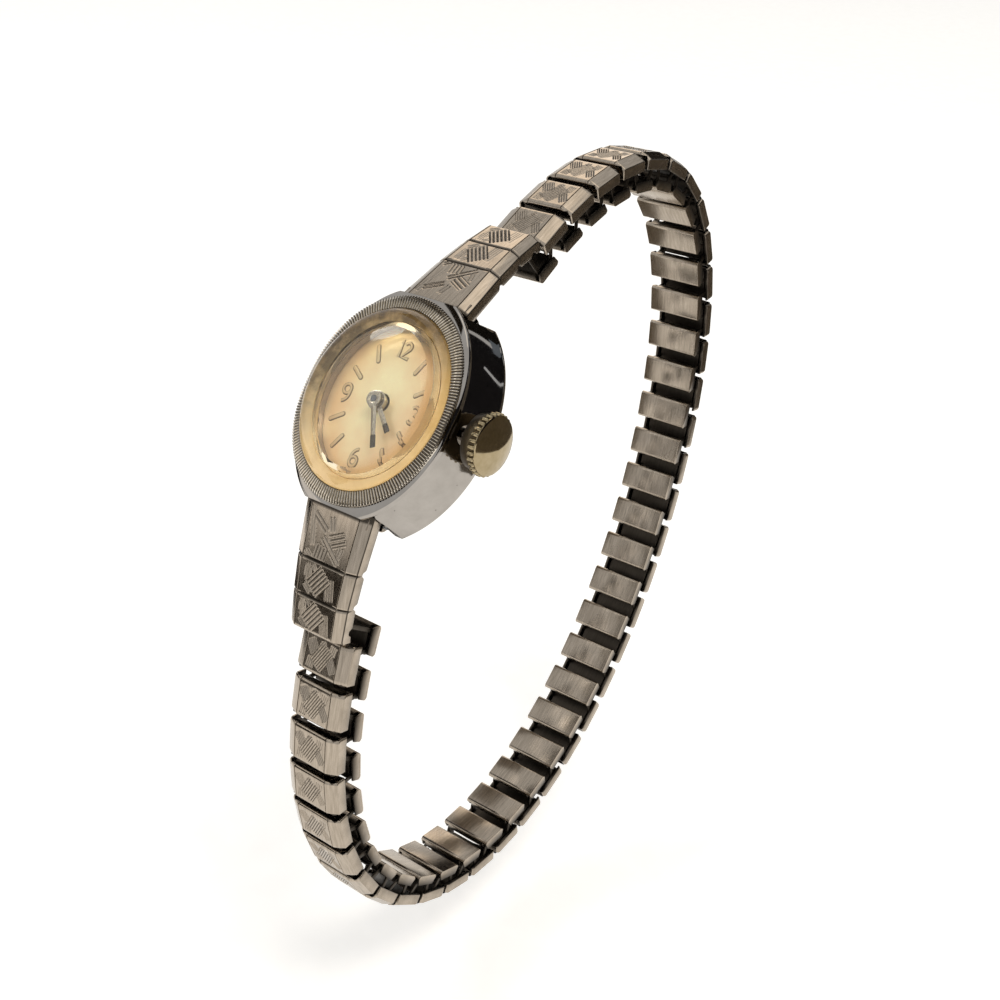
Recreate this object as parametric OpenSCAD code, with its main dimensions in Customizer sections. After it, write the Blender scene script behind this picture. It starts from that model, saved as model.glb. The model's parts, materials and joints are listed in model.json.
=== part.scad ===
/* [Case] */
// Angle of the 12 o'clock direction above level
head_tilt = 48.9; // [30:0.1:70]
// Half width of the case at its sharp lower edge
case_rx = 7.6; // [7.5:0.05:7.8]
// Half length of the case at its lug corners
case_end = 8.0; // [7.9:0.05:8.3]
// Width of a lug at its corner
lug_w = 0.65; // [0.6:0.05:0.9]
// Height of the sharp lower edge above the case back
edge_z = 0.8; // [0.7:0.05:0.9]
// How far the case draws in from its lower edge to its rim, at 3 o'clock
draw_in_x = 1.3; // [1.1:0.05:1.4]
// How far the case draws in from its lower edge to its rim, at 12 o'clock
draw_in_y = 0.7; // [0.5:0.05:0.8]
// How far the polished top rim stands out over the case, at 3 o'clock
rim_out_x = 0.3; // [0.1:0.05:0.4]
// How far the polished top rim stands out over the case, at 12 o'clock
rim_out_y = 0.05; // [0.05:0.05:0.2]
// Height of the top rim's upper face
rim_z = 4.6; // [4.55:0.05:4.7]
// Thickness of the top rim
rim_h = 0.55; // [0.4:0.05:0.6]
// Gap between the movement and the case
move_gap = 0.2; // [0.15:0.01:0.25]
// Width of the ledge over the dial's edge, at 3 o'clock
ledge_x = 0.35; // [0.25:0.05:0.5]
// Width of the ledge over the dial's edge, at 12 o'clock
ledge_y = 0.55; // [0.45:0.05:0.7]

/* [Bezel and crystal] */
// Step from the rim in to the bezel, at 3 o'clock
step_x = 0.15; // [0.1:0.01:0.2]
// Step from the rim in to the bezel, at 12 o'clock
step_y = 0.94; // [0.8:0.02:1]
// Width of the fluted ring, at 3 o'clock
ring_x = 0.55; // [0.5:0.01:0.7]
// Width of the fluted ring, at 12 o'clock
ring_y = 1.07; // [1:0.01:1.2]
// Height of the bezel ring
bezel_h = 0.65; // [0.5:0.05:0.8]
// Number of flutes round the bezel
flute_count = 200; // [90:10:240]
// Depth of a bezel flute
flute_depth = 0.14; // [0.08:0.02:0.2]
// Width of the crystal's bevel, at 3 o'clock
bevel_x = 0.95; // [0.8:0.05:1.1]
// Width of the crystal's bevel, at 12 o'clock
bevel_y = 1.25; // [1:0.05:1.4]
// Height of the crystal above the case rim
crystal_h = 1.5; // [1.4:0.05:1.8]
// Thickness of the crystal's flat top
crystal_wall = 0.6; // [0.4:0.05:0.65]

/* [Case back] */
// How far the back reaches past the movement's bore, at 3 o'clock
back_lap_x = 0.7; // [0.4:0.05:0.9]
// How far the back reaches past the movement's bore, at 12 o'clock
back_lap_y = 0.3; // [0.2:0.05:0.4]
// Thickness of the back under the movement
back_floor = 0.4; // [0.3:0.05:0.5]
// Height of the lip that snaps into the case
back_lip = 0.25; // [0.15:0.05:0.28]

/* [Dial and hands] */
// Height of the dial's upper face
dial_z = 3.95; // [3.93:0.01:3.97]
// Thickness of the dial
dial_t = 0.3; // [0.2:0.05:0.35]
// Height of the raised hour marks
mark_h = 0.05; // [0.03:0.01:0.06]
// Length of the hour marks that are batons
mark_len = 1.5; // [1:0.1:1.7]
// Width of an hour mark
mark_w = 0.28; // [0.2:0.02:0.4]
// Height of the numerals
numeral_h = 1.4; // [1.2:0.1:1.5]
// Length of the hour hand from the centre
hour_len = 2.75; // [2.2:0.05:3]
// Length of the minute hand from the centre
minute_len = 3.65; // [3.2:0.05:4]
// Width of both hands
hand_w = 0.42; // [0.3:0.02:0.5]
// Thickness of a hand
hand_t = 0.12; // [0.08:0.01:0.15]
// Direction of the hour hand, degrees clockwise from 12
hour_angle = 132.7; // [0:0.1:360]
// Direction of the minute hand, degrees clockwise from 12
minute_angle = 152.4; // [0:0.1:360]

/* [Crown] */
// Radius of the crown
crown_r = 2.25; // [2:0.05:2.3]
// Thickness of the crown's fluted part
crown_t = 1.4; // [1.2:0.05:1.8]
// Rise of the crown's domed end
crown_dome = 0.4; // [0.2:0.05:0.6]
// Number of flutes round the crown
crown_flutes = 24; // [18:1:30]
// Radius of the winding stem
stem_r = 0.3; // [0.25:0.01:0.32]
// Height of the stem's axis above the case back
stem_z = 2.75; // [2.7:0.01:2.8]
// Travel of the crown from winding to hand setting
crown_travel = 0.8; // [0.6:0.05:0.9]

/* [Movement] */
// Half width of the movement
move_rx = 4.9; // [4.85:0.01:5]
// Half length of the movement
move_ry = 6.1; // [6:0.01:6.2]
// Height of the main plate's lower face
plate_z = 2.35; // [2.33:0.01:2.4]
// Thickness of the main plate
plate_t = 1.05; // [1:0.01:1.1]
// Height of the bridges' lower face
bridge_z = 1.1; // [1.08:0.01:1.12]
// Thickness of the bridges
bridge_t = 0.3; // [0.25:0.01:0.32]
// Radius of the centre wheel
centre_r = 2.0; // [1.8:0.02:2.05]
// Radius of the third wheel
third_r = 1.5; // [1.3:0.02:1.55]
// Radius of the fourth wheel
fourth_r = 1.35; // [1.2:0.02:1.38]
// Radius of the escape wheel
escape_r = 0.75; // [0.6:0.02:0.8]
// Radius of the barrel with its teeth
barrel_r = 2.15; // [2:0.02:2.2]
// Radius of the balance wheel
balance_r = 1.5; // [1.3:0.02:1.55]

/* [Lugs and end shells] */
// Distance of each spring bar in from the ends of the lugs
lug_in = 0.55; // [0.5:0.01:0.6]
// Height of the spring bars above the case back
lug_z = 2.0; // [1.9:0.05:2.1]
// Radius of a spring bar
bar_r = 0.45; // [0.4:0.01:0.48]
// Radius of a spring bar's tip
bar_tip_r = 0.28; // [0.2:0.01:0.3]
// Half width of an end shell at the case
shell_w0 = 3.15; // [3:0.05:3.2]
// Half width of an end shell at the first groove
shell_w1 = 2.85; // [2.7:0.05:3]
// Half width of an end shell at the second groove
shell_w2 = 2.65; // [2.55:0.05:2.75]
// Length of the three panels of an end shell
shell_l1 = 4.1; // [3.8:0.05:4.3]
// Length of the second panel
shell_l2 = 2.7; // [2.4:0.05:2.9]
// Length of the third panel
shell_l3 = 2.6; // [2.4:0.05:2.8]
// Height of the outer skin above the spring bar
shell_rise = 1.9; // [1.8:0.05:1.95]
// Droop of the end shell at 12 o'clock
shell_droop_12 = 24.6; // [22:0.1:26]
// Droop of the end shell at 6 o'clock
shell_droop_6 = 14.4; // [13:0.1:17]

/* [Band] */
// Width of the band
link_w = 5.0; // [4.8:0.05:5.1]
// Length of a link's outer cap along the band
cap_l = 3.05; // [2.6:0.05:3.1]
// Depth of a link's outer cap
cap_h = 1.3; // [1.2:0.05:1.4]
// Wall of the outer cap
cap_wall = 0.25; // [0.15:0.01:0.25]
// Length of an inner sleeve along the band
sleeve_l = 2.4; // [2:0.05:2.45]
// Full thickness of the band
band_t = 2.95; // [2.9:0.05:3.1]
// Height of an inner sleeve
sleeve_h = 0.85; // [0.75:0.05:0.9]
// Wall of the sleeves
sleeve_wall = 0.12; // [0.1:0.01:0.14]
// Width of the strip that a bow is bent from
bow_w = 0.32; // [0.25:0.01:0.35]
// Thickness of the strip that a bow is bent from
bow_t = 0.14; // [0.1:0.01:0.15]

/* [Loop] */
// Half of the loop's short axis, at the links' outer faces
loop_short = 21.6; // [21:0.1:23]
// Half of the loop's long axis, at the links' outer faces
loop_long = 33.15; // [32.5:0.1:35]
// Lean of the loop's long axis from upright
loop_lean = 34; // [32:0.1:36]
// How much narrower the loop's upper end is than its lower end
loop_egg = 0.088; // [0.05:0.001:0.12]
// Distance of the loop's centre behind the case back's centre
loop_y = 13.77; // [13.3:0.01:14.2]
// Distance of the loop's centre below the case back's centre
loop_z = 15.21; // [14.8:0.01:15.6]

/* [Hidden] */
link_count = 38;
function link_name(i) = str("link_", i < 10 ? "0" : "", i);
HEAD_NODES = ["case_middle", "bezel", "crystal", "dial", "case_back", "spring_bars", "end_shell_12",
    "end_shell_6", "crown", "winding_stem", "setting_lever", "hour_hand", "minute_hand", "main_plate",
    "train_bridges", "barrel", "centre_wheel", "third_wheel", "fourth_wheel", "escape_wheel",
    "pallet_fork", "balance_wheel"];

$fn = 48;
oval_steps = 72;
through = 0.5;
seat_gap = 0.03;
run_gap = 0.03;
body_gap = 0.1;

horn_x = shell_w0 + 2 * body_gap;
corner_x = horn_x + lug_w;
lug_y = case_end - lug_in;
case_ry = case_end / sqrt(1 - pow(corner_x / case_rx, 2));
neck_rx = case_rx - draw_in_x;
neck_ry = case_ry - draw_in_y;
rim_rx = neck_rx + rim_out_x;
rim_ry = neck_ry + rim_out_y;
cavity_rx = move_rx + move_gap;
cavity_ry = move_ry + move_gap;
sight_rx = cavity_rx - ledge_x;
sight_ry = cavity_ry - ledge_y;
bezel_rx = rim_rx - step_x;
bezel_ry = rim_ry - step_y;
crystal_rx = bezel_rx - ring_x;
crystal_ry = bezel_ry - ring_y;
crystal_top_rx = crystal_rx - bevel_x;
crystal_top_ry = crystal_ry - bevel_y;
back_rx = cavity_rx + back_lap_x;
back_ry = cavity_ry + back_lap_y;
bezel_z = rim_z + bezel_h;
dial_rx = cavity_rx - body_gap;
dial_ry = cavity_ry - body_gap;
plate_top = plate_z + plate_t;
bridge_top = bridge_z + bridge_t;

// Closed oval of straight steps
module oval(rx, ry, h, z = 0) {
    points = [for (i = [0:oval_steps - 1]) let (a = 360 * i / oval_steps) [rx * cos(a), ry * sin(a)]];
    translate([0, 0, z]) linear_extrude(h) polygon(points);
}

module oval_ring(rx, ry, wall, h, z = 0) {
    difference() {
        oval(rx, ry, h, z);
        oval(rx - wall, ry - wall, h + 2 * through, z - through);
    }
}

// The head lies in its own frame: x to 3 o'clock, y to 12 o'clock, z out of the dial
module place_head() {
    rotate([head_tilt, 0, 0]) children();
}

// An outline in x and z, drawn out along y and centred
module along_y(len) {
    translate([0, len / 2, 0]) rotate([90, 0, 0]) linear_extrude(len) children();
}

// An outline in y and z, drawn out along x from x0
module along_x(x0, len) {
    translate([x0, 0, 0]) rotate([90, 0, 90]) linear_extrude(len) children();
}

module mirror_x() {
    children();
    mirror([1, 0, 0]) children();
}

module mirror_y() {
    children();
    mirror([0, 1, 0]) children();
}

// Case middle with its lugs
recess_y = back_ry + run_gap;
tube_r = 0.8;
crown_gap = 0.12;
tube_end = case_rx - crown_gap;
stem_hole_r = stem_r + body_gap;
slice = 0.05;
dial_play = 0.05;

module case_outer() {
    intersection() {
        hull() {
            oval(case_rx, case_ry, slice, edge_z);
            oval(neck_rx, neck_ry, slice, rim_z - rim_h);
        }
        cube([2 * case_rx, 2 * case_end, 4 * rim_z], center = true);
    }
}

module case_middle() color("silver") place_head() difference() {
    union() {
        case_outer();
        oval(rim_rx, rim_ry, rim_h, rim_z - rim_h);
        translate([0, 0, stem_z]) rotate([0, 90, 0]) cylinder(r = tube_r, h = tube_end);
    }
    oval(cavity_rx, cavity_ry, dial_z + dial_play - edge_z + through, edge_z - through);
    oval(sight_rx, sight_ry, 2 * rim_z);
    mirror_y() translate([-horn_x, recess_y, -through])
        cube([2 * horn_x, case_ry, rim_z - rim_h + through]);
    mirror_y() translate([-bar_tip_x - run_gap, lug_y, lug_z]) rotate([0, 90, 0])
        cylinder(r = bar_tip_r + run_gap, h = 2 * (bar_tip_x + run_gap));
    translate([0, 0, stem_z]) rotate([0, 90, 0]) cylinder(r = stem_hole_r, h = 2 * case_rx);
}

// Bezel: a fluted ring that holds the crystal's foot
module bezel() color("gainsboro") place_head() difference() {
    union() {
        oval(bezel_rx, bezel_ry, bezel_h / 2, rim_z);
        translate([0, 0, rim_z + bezel_h / 2]) linear_extrude(bezel_h / 2) polygon(flute_points());
    }
    oval(crystal_rx + seat_gap, crystal_ry + seat_gap, 2 * rim_z, rim_z - through);
}

function flute_points() = [for (i = [0:2 * flute_count - 1])
    let (a = 180 * i / flute_count, cut = i % 2 == 0 ? 0 : flute_depth)
    [(bezel_rx - cut) * cos(a), (bezel_ry - cut) * sin(a)]];

// Crystal: a raised top on a wide foot, hollow underneath
module crystal() color("moccasin", 0.4) place_head() difference() {
    union() {
        oval(crystal_rx, crystal_ry, bezel_h, rim_z);
        hull() {
            oval(crystal_rx, crystal_ry, slice, bezel_z - slice);
            oval(crystal_top_rx, crystal_top_ry, slice, rim_z + crystal_h - slice);
        }
    }
    oval(sight_rx, sight_ry - body_gap, crystal_h - crystal_wall + through, rim_z - through);
}

// Case back: flat outer face, a raised edge and a lip inside the case
lip_wall = 0.4;
back_flange = 0.3;
module case_back() color("silver") place_head() difference() {
    union() {
        oval(back_rx, back_ry, edge_z / 2);
        oval(back_rx + back_flange, back_ry, edge_z / 2, edge_z / 2);
        oval(cavity_rx - seat_gap, cavity_ry - seat_gap, back_lip, edge_z);
    }
    oval(cavity_rx - lip_wall, cavity_ry - lip_wall, 2 * edge_z, back_floor);
}

// Dial: a plate with raised numerals at 12, 3, 6 and 9 and batons between them
arbor_r = 0.22;
cannon_r = 0.42;
tube_outer_r = 0.62;
dial_hole_r = tube_outer_r + body_gap;
feet_r = 0.3;
numeral_line = 0.24;

module arc_stroke(r, from, to, h = mark_h) {
    rotate([0, 0, from]) rotate_extrude(angle = to - from)
        translate([r - numeral_line / 2, 0]) square([numeral_line, h]);
}

module bar_stroke(x, y, len, turn) {
    translate([x, y, 0]) rotate([0, 0, turn]) translate([-numeral_line / 2, 0, 0])
        cube([numeral_line, len, mark_h]);
}

module six() {
    bowl = numeral_h * 0.29;
    translate([0, bowl - numeral_h / 2, 0]) arc_stroke(bowl - numeral_line / 2, 0, 360);
    translate([numeral_h * 0.21, 0, 0]) arc_stroke(numeral_h * 0.42, 95, 195);
}

module three() {
    bowl = numeral_h * 0.24;
    translate([0, bowl, 0]) arc_stroke(bowl, -90, 150);
    translate([0, -bowl, 0]) arc_stroke(bowl, -150, 90);
}

module twelve() {
    bowl = numeral_h * 0.24;
    bar_stroke(-numeral_h * 0.42, -numeral_h / 2, numeral_h, 0);
    translate([numeral_h * 0.22, numeral_h / 2 - bowl - numeral_line / 2, 0]) {
        arc_stroke(bowl, -40, 170);
    }
    bar_stroke(-numeral_h * 0.02, -numeral_h / 2 + numeral_line / 2, numeral_h * 0.66, -34);
    bar_stroke(-numeral_h * 0.1, -numeral_h / 2 + numeral_line / 2, numeral_h * 0.62, -90);
}

mark_ring_x = dial_rx * 0.73;
mark_ring_y = dial_ry * 0.65;
module at_hour(hour) {
    a = 90 - 30 * hour;
    translate([mark_ring_x * cos(a), mark_ring_y * sin(a), dial_z]) children();
}

module dial() color("wheat") place_head() {
    difference() {
        oval(dial_rx, dial_ry, dial_t, dial_z - dial_t);
        translate([0, 0, dial_z - dial_t - through]) cylinder(r = dial_hole_r, h = dial_t + 2 * through);
    }
    for (hour = [1, 2, 4, 5, 7, 8, 10, 11]) at_hour(hour) rotate([0, 0, -30 * hour])
        translate([-mark_w / 2, -mark_len / 2, 0]) cube([mark_w, mark_len, mark_h]);
    at_hour(12) twelve();
    at_hour(3) three();
    at_hour(6) six();
    at_hour(9) rotate([0, 0, 180]) six();
    for (a = [60, 240]) translate([dial_rx * 0.8 * cos(a), dial_ry * 0.8 * sin(a), plate_top])
        cylinder(r = feet_r, h = dial_z - dial_t - plate_top);
}

// Hands on their tubes over the centre arbor
hand_rise = 0.5;
hand_space = 0.25;
hour_z = dial_z + hand_rise;
minute_z = hour_z + hand_t + hand_space;
tube_z = plate_top + seat_gap;
hub_r = 0.55;

module hand(len, width) {
    translate([-width / 2, 0, 0]) cube([width, len, hand_t]);
}

module hour_hand() color("lightsteelblue") place_head() difference() {
    union() {
        translate([0, 0, tube_z]) cylinder(r = tube_outer_r, h = hour_z + hand_t - tube_z);
        translate([0, 0, hour_z]) rotate([0, 0, -hour_angle]) hand(hour_len, hand_w);
    }
    cylinder(r = cannon_r + run_gap, h = 3 * rim_z);
}

module minute_hand() color("lightsteelblue") place_head() difference() {
    union() {
        translate([0, 0, tube_z]) cylinder(r = cannon_r, h = minute_z + hand_t - tube_z);
        translate([0, 0, minute_z]) cylinder(r = hub_r, h = hand_t);
        translate([0, 0, minute_z]) rotate([0, 0, -minute_angle]) hand(minute_len, hand_w);
    }
    cylinder(r = arbor_r + run_gap, h = 3 * rim_z);
}

// Crown, stem and the lever that holds the stem
crown_x = case_rx + crown_gap;
crown_round = 0.12;
flute_r = 0.16;
stem_x0 = 2.2;
stem_in_crown = 1;
stem_x1 = crown_x + stem_in_crown;
groove_x = 3.6;
groove_w = 0.3;
groove_r = stem_r - 0.1;
lever_play = 0.02;

module crown_shape() {
    dome = [for (i = [0:8]) let (a = 90 * i / 8)
        [(crown_r - crown_round) * cos(a), crown_t + crown_dome * sin(a)]];
    rotate_extrude() polygon(concat([[0, 0], [crown_r - crown_round, 0], [crown_r, crown_round],
        [crown_r, crown_t - crown_round]], dome));
}

module crown() color("goldenrod") place_head() translate([crown_x, 0, stem_z]) rotate([0, 90, 0])
difference() {
    crown_shape();
    for (i = [0:crown_flutes - 1]) rotate([0, 0, 360 * i / crown_flutes])
        translate([crown_r + flute_r * 0.35, 0, -through])
            cylinder(r = flute_r, h = crown_t + 2 * through, $fn = 16);
    translate([0, 0, -through]) cylinder(r = stem_r, h = stem_in_crown + through);
}

module winding_stem() color("silver") place_head() translate([0, 0, stem_z]) rotate([0, 90, 0])
difference() {
    translate([0, 0, stem_x0]) cylinder(r = stem_r, h = stem_x1 - stem_x0);
    translate([0, 0, groove_x]) difference() {
        cylinder(r = 2 * stem_r, h = groove_w);
        translate([0, 0, -through]) cylinder(r = groove_r, h = groove_w + 2 * through);
    }
}

lever_h = 0.5;
lever_len = 1.2;
lever_y = -0.3;
lever_slot = groove_r + lever_play;
module setting_lever() color("slategray") place_head() difference() {
    translate([groove_x + lever_play, lever_y, stem_z - lever_h / 2])
        cube([groove_w - 2 * lever_play, lever_len, lever_h]);
    translate([0, 0, stem_z]) rotate([0, 90, 0]) cylinder(r = lever_slot, h = case_rx);
    translate([0, lever_y - through, stem_z - lever_slot])
        cube([case_rx, through - lever_y, 2 * lever_slot]);
}

// Movement: places of the arbors and heights of the wheels
mesh = 0.05;
centre_pinion = 0.52;
third_pinion = 0.26;
fourth_pinion = 0.24;
escape_pinion = 0.2;
roller_r = 0.26;
pallet_reach = 0.28;
balance_reach = 1.07;
function away(r, a) = r * [cos(a), sin(a)];
barrel_at = away(barrel_r + centre_pinion - mesh, 75);
third_at = away(centre_r + third_pinion - mesh, 200);
fourth_at = third_at + away(third_r + fourth_pinion - mesh, -70);
escape_at = fourth_at + away(fourth_r + escape_pinion - mesh, -20);
pallet_at = escape_at + away(escape_r + pallet_reach, 3);
balance_at = pallet_at + away(balance_reach, 11);
pivot_r = 0.1;
pivot_in = 0.2;
wheel_t = 0.12;
barrel_z = 1.5;
centre_z = 2.1;
third_z = 1.72;
fourth_z = 1.5;
escape_z = 1.9;
balance_z = 1.52;
balance_h = 0.18;
cock_z = balance_z + balance_h + 0.04;
cock_t = 0.1;
cock_foot = pallet_at - [0, 1.7];
bridge_arbors = [third_at, fourth_at, escape_at, balance_at, barrel_at];

// Arbor with a thin pivot at each end, standing on a bridge whose upper face is at z
module arbor(at, r, z = bridge_top, pivot = pivot_in) {
    span = plate_z - z;
    translate([at[0], at[1], z - pivot]) cylinder(r = pivot_r, h = span + pivot + pivot_in, $fn = 24);
    translate([at[0], at[1], z + seat_gap]) cylinder(r = r, h = span - 2 * seat_gap, $fn = 24);
}

// Toothed disc
module gear(at, z, r, teeth, t, depth) {
    points = [for (i = [0:2 * teeth - 1]) let (a = 180 * i / teeth, q = i % 2 == 0 ? r : r - depth)
        [q * cos(a), q * sin(a)]];
    translate([at[0], at[1], z]) linear_extrude(t) polygon(points);
}

// Wheel with a toothed rim and four spokes
module spoked_wheel(at, z, r, teeth, depth) {
    rim = 0.25;
    hub = 0.3;
    spoke = 0.2;
    difference() {
        gear(at, z, r, teeth, wheel_t, depth);
        translate([at[0], at[1], z - through]) difference() {
            cylinder(r = r - depth - rim, h = wheel_t + 2 * through);
            translate([0, 0, -through]) cylinder(r = hub, h = wheel_t + 4 * through);
            for (a = [0, 90]) rotate([0, 0, a]) translate([-r, -spoke / 2, -through])
                cube([2 * r, spoke, wheel_t + 4 * through]);
        }
    }
}

lever_room = 0.05;
module main_plate() color("gold") place_head() difference() {
    oval(move_rx, move_ry, plate_t, plate_z);
    translate([0, 0, plate_z - through]) cylinder(r = arbor_r + run_gap, h = plate_t + 2 * through);
    for (at = concat(bridge_arbors, [pallet_at])) translate([at[0], at[1], plate_z - through])
        cylinder(r = pivot_r + run_gap, h = pivot_in + run_gap + through, $fn = 24);
    translate([stem_x0 - body_gap, 0, stem_z]) rotate([0, 90, 0]) cylinder(r = stem_r + run_gap, h = case_rx);
    translate([groove_x - lever_room, lever_y - body_gap, stem_z - lever_h / 2 - lever_room])
        cube([case_rx, lever_len + 2 * body_gap, lever_h + 2 * lever_room]);
}

// Bridges: barrel bridge, train bridge and balance cock with feet at the rim, and the small pallet cock
bridge_cut_y = -0.2;
bridge_cut_x = 1.3;
bridge_gap = 0.06;
foot_wall = 0.45;

module bridge_blank() {
    oval(move_rx, move_ry, bridge_t, bridge_z);
    oval_ring(move_rx, move_ry, foot_wall, plate_z - bridge_top, bridge_top);
}

module bridge_holes() {
    for (at = concat(bridge_arbors, [[0, 0]])) translate([at[0], at[1], bridge_z - through])
        cylinder(r = pivot_r + run_gap, h = bridge_t + 2 * through, $fn = 24);
}

module bridge_part(x0, x1, y0, y1) {
    difference() {
        intersection() {
            bridge_blank();
            translate([x0, y0, 0]) cube([x1 - x0, y1 - y0, 2 * rim_z]);
        }
        bridge_holes();
    }
}

module pallet_cock() {
    difference() {
        union() {
            for (at = [pallet_at, cock_foot]) translate([at[0], at[1], cock_z])
                cylinder(r = feet_r, h = cock_t);
            translate([pallet_at[0] - feet_r, cock_foot[1], cock_z])
                cube([2 * feet_r, pallet_at[1] - cock_foot[1], cock_t]);
            translate([cock_foot[0], cock_foot[1], cock_z]) cylinder(r = feet_r, h = plate_z - cock_z);
        }
        translate([pallet_at[0], pallet_at[1], cock_z - through])
            cylinder(r = pivot_r + run_gap, h = cock_t + 2 * through, $fn = 24);
    }
}

module train_bridges() color("khaki") place_head() {
    far = 2 * move_ry;
    bridge_part(-far, far, bridge_cut_y + bridge_gap, far);
    bridge_part(-far, bridge_cut_x - bridge_gap, -far, bridge_cut_y - bridge_gap);
    bridge_part(bridge_cut_x + bridge_gap, far, -far, bridge_cut_y - bridge_gap);
    pallet_cock();
}

drum_gap = 0.08;
module barrel() color("darkkhaki") place_head() {
    gear(barrel_at, barrel_z, barrel_r, 70, wheel_t, 0.15);
    translate([barrel_at[0], barrel_at[1], barrel_z + wheel_t])
        cylinder(r = barrel_r - 0.25, h = centre_z - barrel_z - wheel_t - drum_gap);
    arbor(barrel_at, 0.3);
}

module centre_wheel() color("gold") place_head() {
    spoked_wheel([0, 0], centre_z, centre_r, 64, 0.12);
    gear([0, 0], barrel_z - seat_gap, centre_pinion, 10, 0.2, 0.14);
    translate([0, 0, bridge_top - pivot_in]) cylinder(r = pivot_r, h = 2 * pivot_in, $fn = 24);
    translate([0, 0, bridge_top + seat_gap])
        cylinder(r = arbor_r, h = minute_z + hand_t - bridge_top - seat_gap);
}

module third_wheel() color("gold") place_head() {
    spoked_wheel(third_at, third_z, third_r, 60, 0.12);
    gear(third_at, centre_z - seat_gap, third_pinion, 8, wheel_t + 2 * seat_gap, 0.08);
    arbor(third_at, 0.14);
}

module fourth_wheel() color("gold") place_head() {
    spoked_wheel(fourth_at, fourth_z, fourth_r, 60, 0.1);
    gear(fourth_at, third_z - seat_gap, fourth_pinion, 8, wheel_t + 2 * seat_gap, 0.08);
    arbor(fourth_at, 0.13);
}

module escape_wheel() color("lightgray") place_head() {
    spoked_wheel(escape_at, escape_z, escape_r, 15, 0.18);
    gear(escape_at, fourth_z - seat_gap, escape_pinion, 6, wheel_t + 2 * seat_gap, 0.06);
    arbor(escape_at, 0.12);
}

// Pallet fork: two stone arms over the escape wheel and a lever to the balance
fork_w = 0.14;
fork_len = balance_reach - roller_r - 0.19;
pallet_half = 0.62;
stone_w = 0.12;
stone_reach = 0.36;
module pallet_fork() color("lightgray") place_head() {
    arbor(pallet_at, 0.12, cock_z + cock_t, cock_t);
    translate([pallet_at[0], pallet_at[1], escape_z]) {
        translate([0, -fork_w / 2, 0]) cube([fork_len, fork_w, wheel_t]);
        translate([-fork_w, -pallet_half, 0]) cube([fork_w, 2 * pallet_half, wheel_t]);
        for (side = [-1, 1]) translate([-stone_reach, side * (pallet_half - stone_w / 2) - stone_w / 2, 0])
            cube([stone_reach, stone_w, wheel_t]);
    }
}

// Balance: rim with two arms, staff, roller and a spiral hairspring
spring_turns = 5;
spring_r0 = 0.25;
spring_pitch = 0.13;
spring_line = 0.05;
spring_z = 1.43;
spring_h = 0.06;
balance_wall = 0.22;
arm_w = 0.24;
arm_h = 0.12;

function spiral(off) = [for (i = [0:20 * spring_turns])
    let (a = 18 * i, r = spring_r0 + off + spring_pitch * i / 20) [r * cos(a), r * sin(a)]];
function reversed(list) = [for (i = [len(list) - 1:-1:0]) list[i]];

module balance_wheel() color("goldenrod") place_head() {
    translate([balance_at[0], balance_at[1], balance_z]) {
        difference() {
            cylinder(r = balance_r, h = balance_h);
            translate([0, 0, -through]) cylinder(r = balance_r - balance_wall, h = 2 * through);
        }
        translate([-balance_r + balance_wall / 2, -arm_w / 2, balance_h - arm_h])
            cube([2 * balance_r - balance_wall, arm_w, arm_h]);
        translate([0, 0, spring_z - balance_z]) linear_extrude(spring_h)
            polygon(concat(spiral(0), reversed(spiral(spring_line))));
        translate([0, 0, escape_z - balance_z]) cylinder(r = roller_r, h = wheel_t, $fn = 24);
    }
    arbor(balance_at, 0.24);
}

// Spring bars: one pair, each a body with two thin tips
bar_tip_x = horn_x + 0.4;
module spring_bars() color("silver") place_head() mirror_y()
translate([0, lug_y, lug_z]) rotate([0, 90, 0]) {
    translate([0, 0, -horn_x + body_gap]) cylinder(r = bar_r, h = 2 * (horn_x - body_gap));
    translate([0, 0, -bar_tip_x]) cylinder(r = bar_tip_r, h = 2 * bar_tip_x);
}

// End shells, each in a frame at its spring bar: y away from the case, z outwards
skin = 0.3;
bend_1 = -3;
bend_2 = -7;
bend_3 = -12;
shell_back = -0.3;
shell_0 = [0, shell_rise];
shell_1 = shell_0 + shell_l1 * [cos(bend_1), sin(bend_1)];
shell_2 = shell_1 + shell_l2 * [cos(bend_2), sin(bend_2)];
shell_3 = shell_2 + shell_l3 * [cos(bend_3), sin(bend_3)];
shell_half_end = link_w / 2;

function below(p, bend, d) = p + d * [sin(bend), -cos(bend)];
function shell_side(d) = [below([shell_back, shell_rise], 0, d), below(shell_0, 0, d),
    below(shell_1, bend_1, d), below(shell_2, bend_2, d), below(shell_3, bend_3, d)];
function shell_plan(d) = [[shell_w0 - d, shell_back - margin], [shell_w0 - d, 0],
    [shell_w1 - d, shell_1[0]], [shell_w2 - d, shell_2[0]],
    [shell_half_end - d, shell_3[0]], [shell_half_end - d, shell_3[0] + margin]];

module shell_outline(d) {
    right = shell_plan(d);
    translate([0, 0, -2 * shell_rise]) linear_extrude(4 * shell_rise)
        polygon(concat(right, reversed([for (p = right) [-p[0], p[1]]])));
}

module shell_block(d0, d1) {
    along_x(-shell_w0 - margin, 2 * (shell_w0 + margin))
        polygon(concat(shell_side(d0), reversed(shell_side(d1))));
}

knuckle_r = 0.75;
knuckle_x = shell_w0 - 0.25;
groove_d = 0.16;

module shell_groove(p, bend) {
    along_x(-shell_w0, 2 * shell_w0) polygon([p + [-0.1, 0.1], below(p, bend, groove_d), p + [0.1, 0.1]]);
}

lip_t = 0.25;
margin = 1;
lip_foot = below(shell_3, bend_3, cap_h - 0.15);

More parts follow.
